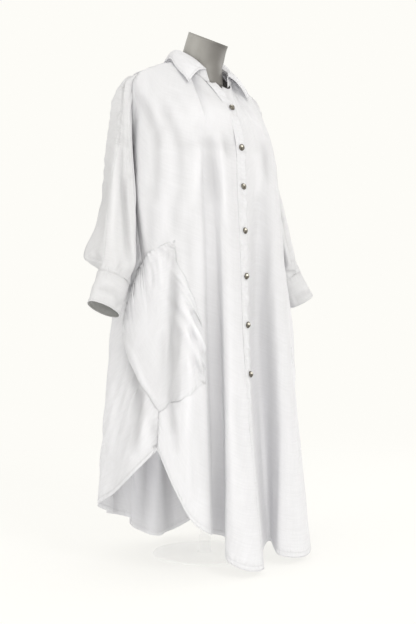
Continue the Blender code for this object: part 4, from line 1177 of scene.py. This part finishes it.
for side, word in ((-1, "right"), (1, "left")):
    grid = pocket_grid(side)
    across, up = cloth_runs(grid)
    top = up[-1:] - up
    far_edge = across[:, -1:] - across
    mouth, front_edge = (across, far_edge) if side < 0 else (far_edge, across)
    grid = uneven(grid, across, up * 0.3, 0.05, 0.0009, 51)
    low_down = (np.clip((POCKET_FULL_BELOW - grid[..., 2]) / 0.12, 0.25, 1)
                * np.clip(up / POCKET_CALM, 0.05, 1))
    if side > 0:
        low_down = low_down * LEFT_PUCKERS
    grid, painted_shading = creased(grid, SIDE_CREASES + POCKET_CREASES, mirrored=side > 0)
    for seam in (
            (mouth, up + across * 0.5, 0.0030, 0.006, 0.0125, 52),
            (mouth, up + across * 0.9, 0.0010, 0.016, 0.034, 53),
            (front_edge, up + across, 0.0070 * low_down, 0.009, 0.0130, 54),
            (front_edge, up + across, 0.0085 * low_down, 0.022, 0.0250, 55),
            (top, across + up * 0.3, 0.0020, 0.008, 0.0110, 56),
            (top, across + up * 0.4, 0.0018, 0.018, 0.024, 57),
            (up, across, 0.0009, 0.008, 0.015, 58)):
        grid, ripple = held_by_seams(grid, [seam])
        painted_shading = painted_shading + ripple
    piece = cloth(f"pocket_{word}", grid,
                  [(mouth - 0.0065, up), (mouth - 0.0012, up), (up - STITCH_INSET, across),
                   (top - STITCH_INSET, across), (front_edge - STITCH_INSET, up)],
                  [(mouth, up), (front_edge, up), (top, across), (up, across)], painted_shading=painted_shading)
    finished(piece, f"pocket_{word}")

# ---------------------------------------------------------------- collar
# A stand round the neckline and a pointed leaf that folds over it, stitched 5 mm from its edge.
COLLAR = (
    # panel, place on its top edge, fold line, outer edge (|x|, y, z)
    (True, 0.50, (0.035, -0.043, 1.152), (0.096, -0.052, 1.112)),
    (True, 0.44, (0.047, -0.031, 1.168), (0.098, -0.034, 1.130)),
    (True, 0.38, (0.057, -0.007, 1.187), (0.096, -0.006, 1.152)),
    (True, 0.33, (0.059, 0.017, 1.199), (0.090, 0.024, 1.179)),
    (False, 0.42, (0.053, 0.042, 1.206), (0.078, 0.062, 1.176)),
    (False, 0.46, (0.033, 0.063, 1.210), (0.048, 0.090, 1.170)),
    (False, 0.50, (0.0, 0.071, 1.212), (0.0, 0.102, 1.168)),
)
# The left leaf hangs lower than the right one: shift of its outer edge from the tip on.
LEFT_LEAF_SHIFT = ((-0.013, -0.015, -0.023), (-0.001, -0.006, -0.008), (0, -0.006, -0.005))
# Its fold lies lower there too.
LEFT_FOLD_SHIFT = ((-0.003, -0.003, -0.006), (-0.002, 0, -0.013), (-0.001, 0, -0.020),
                   (-0.001, 0, -0.016), (0, 0, -0.007))
COLLAR_STEPS = 12
FOLD_ROLL = 0.004
FOLD_ROWS = 3
STAND_ROWS = 14
STAND_STITCH = 0.0018         # from its edge
LEAF_ROWS = 30
LEAF_STITCH = 0.005
LEAF_ARCH = 0.010             # how far the leaf stands above a straight fall

seam_line, fold_line, edge_line, left_open = [], [], [], []
for is_front, place, fold, edge in COLLAR:
    point = top_point(place, NECK_SHARE_FRONT if is_front else NECK_SHARE_BACK, is_front)
    if is_front:
        aside, lower = open_shares(point, 0)
        point -= (OPEN_SPREAD * aside, 0, OPEN_DROP * lower)
        left_open.append((OPEN_SPREAD_LEFT - OPEN_SPREAD) * aside)
    seam_line.append(point)
    fold_line.append(np.array(fold) * (-1, 1, 1))
    edge_line.append(np.array(edge) * (-1, 1, 1))
seam_line, fold_line, edge_line = (np.concatenate([half, np.array(half)[-2::-1] * (-1, 1, 1)])
                                   for half in (seam_line, fold_line, edge_line))
seam_line[:-len(left_open) - 1:-1, 0] += left_open
edge_line[:-len(LEFT_LEAF_SHIFT) - 1:-1] += LEFT_LEAF_SHIFT
fold_line[:-len(LEFT_FOLD_SHIFT) - 1:-1] += LEFT_FOLD_SHIFT
stand_foot = (seam_line - (0, 0.02, 0)) * (0.985, 0.985, 1) + (0, 0.02, 0)
stand_top = fold_line - (0, 0, FOLD_ROLL)
stand = np.array([smooth_line(stand_foot + (stand_top - stand_foot) * k / STAND_ROWS, COLLAR_STEPS)
                  for k in range(STAND_ROWS + 1)])[:, ::-1]
across, up = cloth_runs(stand)
stand = puckered(stand, up, across, 0.0005, 0.006, 0.012, 61)
stand_piece = cloth("collar_stand", stand,
                    [(up - STAND_STITCH, across), (from_ends(across) - STAND_STITCH, up)],
                    [(up, across)], wall=BAND_WALL)
finished(stand_piece, "collar_stand")

leaf_rows = []
for k in range(-FOLD_ROWS, LEAF_ROWS + 1):
    if k < 0:
        row = fold_line + (stand_top - fold_line) * math.sin(math.pi * 0.5 * -k / FOLD_ROWS)
    else:
        share = k / LEAF_ROWS
        row = fold_line + (edge_line - fold_line) * share
        row[:, 2] += LEAF_ARCH * math.sin(math.pi * share)
    leaf_rows.append(smooth_line(row, COLLAR_STEPS))
leaf = np.array(leaf_rows[::-1])[:, ::-1]
across, up = cloth_runs(leaf)
ends = from_ends(across)
edge = np.minimum(up, ends)
leaf = uneven(leaf, across, up, 0.05, 0.0005, 62)
leaf = puckered(leaf, edge, across + up, 0.0005, 0.007, 0.013, 63)
leaf_piece = cloth("collar_leaf", leaf, [(up - LEAF_STITCH, across), (ends - LEAF_STITCH, up)],
                   [(edge, across + up)], wall=BAND_WALL)
finished(leaf_piece, "collar_leaf")

# ---------------------------------------------------------------- dress form
# A limbless torso in satin grey, its neck cut on a slant, painted darker on its side to the right in the
# camera's view as painted shade.
FORM = (
    # height, half width, depth to the front, depth to the back, middle y
    (0.520, 0.140, 0.085, 0.105, 0.015),
    (0.560, 0.158, 0.096, 0.120, 0.015),
    (0.640, 0.162, 0.100, 0.122, 0.015),
    (0.720, 0.142, 0.094, 0.100, 0.015),
    (0.800, 0.120, 0.088, 0.082, 0.015),
    (0.870, 0.128, 0.098, 0.084, 0.015),
    (0.940, 0.146, 0.112, 0.094, 0.015),
    (0.980, 0.152, 0.110, 0.098, 0.016),
    (1.030, 0.162, 0.088, 0.080, 0.022),
    (1.070, 0.166, 0.064, 0.056, 0.030),
    (1.100, 0.160, 0.042, 0.036, 0.036),
    (1.120, 0.146, 0.032, 0.028, 0.036),
    (1.140, 0.114, 0.030, 0.020, 0.034),
    (1.156, 0.080, 0.033, 0.024, 0.028),
    (1.1665, 0.057, 0.041, 0.034, 0.018),
    (1.178, 0.053, 0.053, 0.047, 0.013),
    (1.205, 0.0515, 0.053, 0.052, 0.002),
)
FORM_SIDES = 96
NECK_CUT_MIDDLE = (-0.012, 1.233)
NECK_CUT_SLOPE = 0.44
NECK_CUT_SIDE_SLOPE = -0.114
NECK_CUT_SHARES = (0.925, 0.880, 1)       # its width and depth against the neck below it
NECK_CUT_RINGS = ((0.985, 0.0006), (0.96, 0), (0.90, 0), (0, 0))      # share of its size, lowered by
# Below the neck the throat stands forward of the shoulders: half width, depth, middle y at its
# top, and how much further forward it comes on its way down.
THROAT = (0.048, 0.051, 0.013, 0.06)
THROAT_LEVELS = (1.105, 1.178)

form_rows = []
form_turns = np.arange(FORM_SIDES) / FORM_SIDES * 2 * math.pi
for z, half, ahead, behind, middle in FORM:
    depth = np.where(np.cos(form_turns) > 0, ahead, behind)
    x, y = -half * np.sin(form_turns), middle - depth * np.cos(form_turns)
    if THROAT_LEVELS[0] < z < THROAT_LEVELS[1]:
        wide, deep, throat_middle, lean = THROAT
        ahead_of = throat_middle - lean * (THROAT_LEVELS[1] - z)
        throat = ahead_of - deep * np.sqrt(np.clip(1 - (x / wide) ** 2, 0, 1))
        y = np.where((np.abs(x) < wide) & (np.cos(form_turns) > 0), np.minimum(y, throat), y)
    form_rows.append(np.stack([x, y, np.full(FORM_SIDES, z)], 1))
neck_top = form_rows[-1] * NECK_CUT_SHARES + (0, NECK_CUT_MIDDLE[0] - FORM[-1][4], 0)
neck_top[:, 2] = (NECK_CUT_MIDDLE[1] + (neck_top[:, 1] - NECK_CUT_MIDDLE[0]) * NECK_CUT_SLOPE
                  + neck_top[:, 0] * NECK_CUT_SIDE_SLOPE)
form_rows.append(neck_top)
form = smooth_line(form_rows, 4)
neck_middle = neck_top.mean(0)
for inset, lower in NECK_CUT_RINGS:
    form = np.concatenate([form, [neck_middle + (neck_top - neck_middle) * inset - (0, 0, lower)]])
form = np.concatenate([[form_rows[0] * (0, 0, 1) + (0, FORM[0][4], 0)], form])

satin_grey, nodes = surface("satin_grey", Roughness=0.42, Specular_IOR_Level=0.45, Sheen_Weight=0.1)
place = nodes.place()
mottle = place.noise(24.0, 4.0, 0.6).fall(0.3, 0.7)
grain = place.noise(900.0, 2.0) - 0.5
# Painted shade: the form is coloured darker on its side to the right in the camera's view.
painted_shade_side = place.vector("DOT_PRODUCT", tuple(-TO_RIGHT)).fall(-0.045, 0.045)
satin = mottle.blend((0.300, 0.292, 0.274, 1), (0.325, 0.317, 0.298, 1))
connect(satin_grey, Base_Color=painted_shade_side.blend(satin, (0.125, 0.118, 0.109, 1)),
        Roughness=0.40 + mottle * 0.07, Normal=(grain * 0.00006).bump(0.5))
form_mesh = bpy.data.meshes.new("form_torso_satin")
numbers = wrapped(np.arange(len(form) * FORM_SIDES).reshape(-1, FORM_SIDES))
form_mesh.from_pydata(form.reshape(-1, 3).tolist(), [], grid_faces(numbers)[:, ::-1].tolist())
form_mesh.validate()
form_mesh.shade_smooth()
form_mesh.materials.append(satin_grey)
stands_for(placed("form_torso_satin", form_mesh), "form_torso")

# ---------------------------------------------------------------- pole and base plate
# A slim clear rod with a short socket on a clear round plate.
POLE_PROFILE = (
    # radius, height
    (0.0, 0.5197), (0.0108, 0.5197), (0.0110, 0.519), (0.0110, 0.046), (0.0112, 0.0455),
    (0.0135, 0.0450), (0.0140, 0.0440), (0.0140, 0.012), (0.0150, 0.0095), (0.0180, 0.0075),
    (0.0182, 0.0063), (0.0, 0.0063),
)
BASE_PROFILE = (
    (0.0, 0.006), (0.118, 0.006), (0.1225, 0.0058), (0.1243, 0.0050), (0.125, 0.0038),
    (0.125, 0.0016), (0.1246, 0.0006), (0.1236, 0.0), (0.0, 0.0),
)
clear_acrylic, nodes = surface("clear_acrylic", Alpha=0.13)
place = nodes.place()
cloudy = place.noise(30.0, 3.0).fall(0.3, 0.7)
polish = place.noise(260.0, 2.0) - 0.5
connect(clear_acrylic, Base_Color=cloudy.blend((0.955, 0.965, 0.965, 1), (0.985, 0.99, 0.99, 1)),
        Roughness=0.03 + cloudy * 0.04, Normal=(polish * 0.00003).bump(0.4))
for name, profile, node in (("pole_acrylic", POLE_PROFILE, "form_pole"),
                            ("base_acrylic", BASE_PROFILE, "form_base")):
    mesh = lathe(name, profile[::-1], 72)
    mesh.materials.append(clear_acrylic)
    stands_for(placed(name, mesh), node)

# ---------------------------------------------------------------- sizes
low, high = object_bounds()
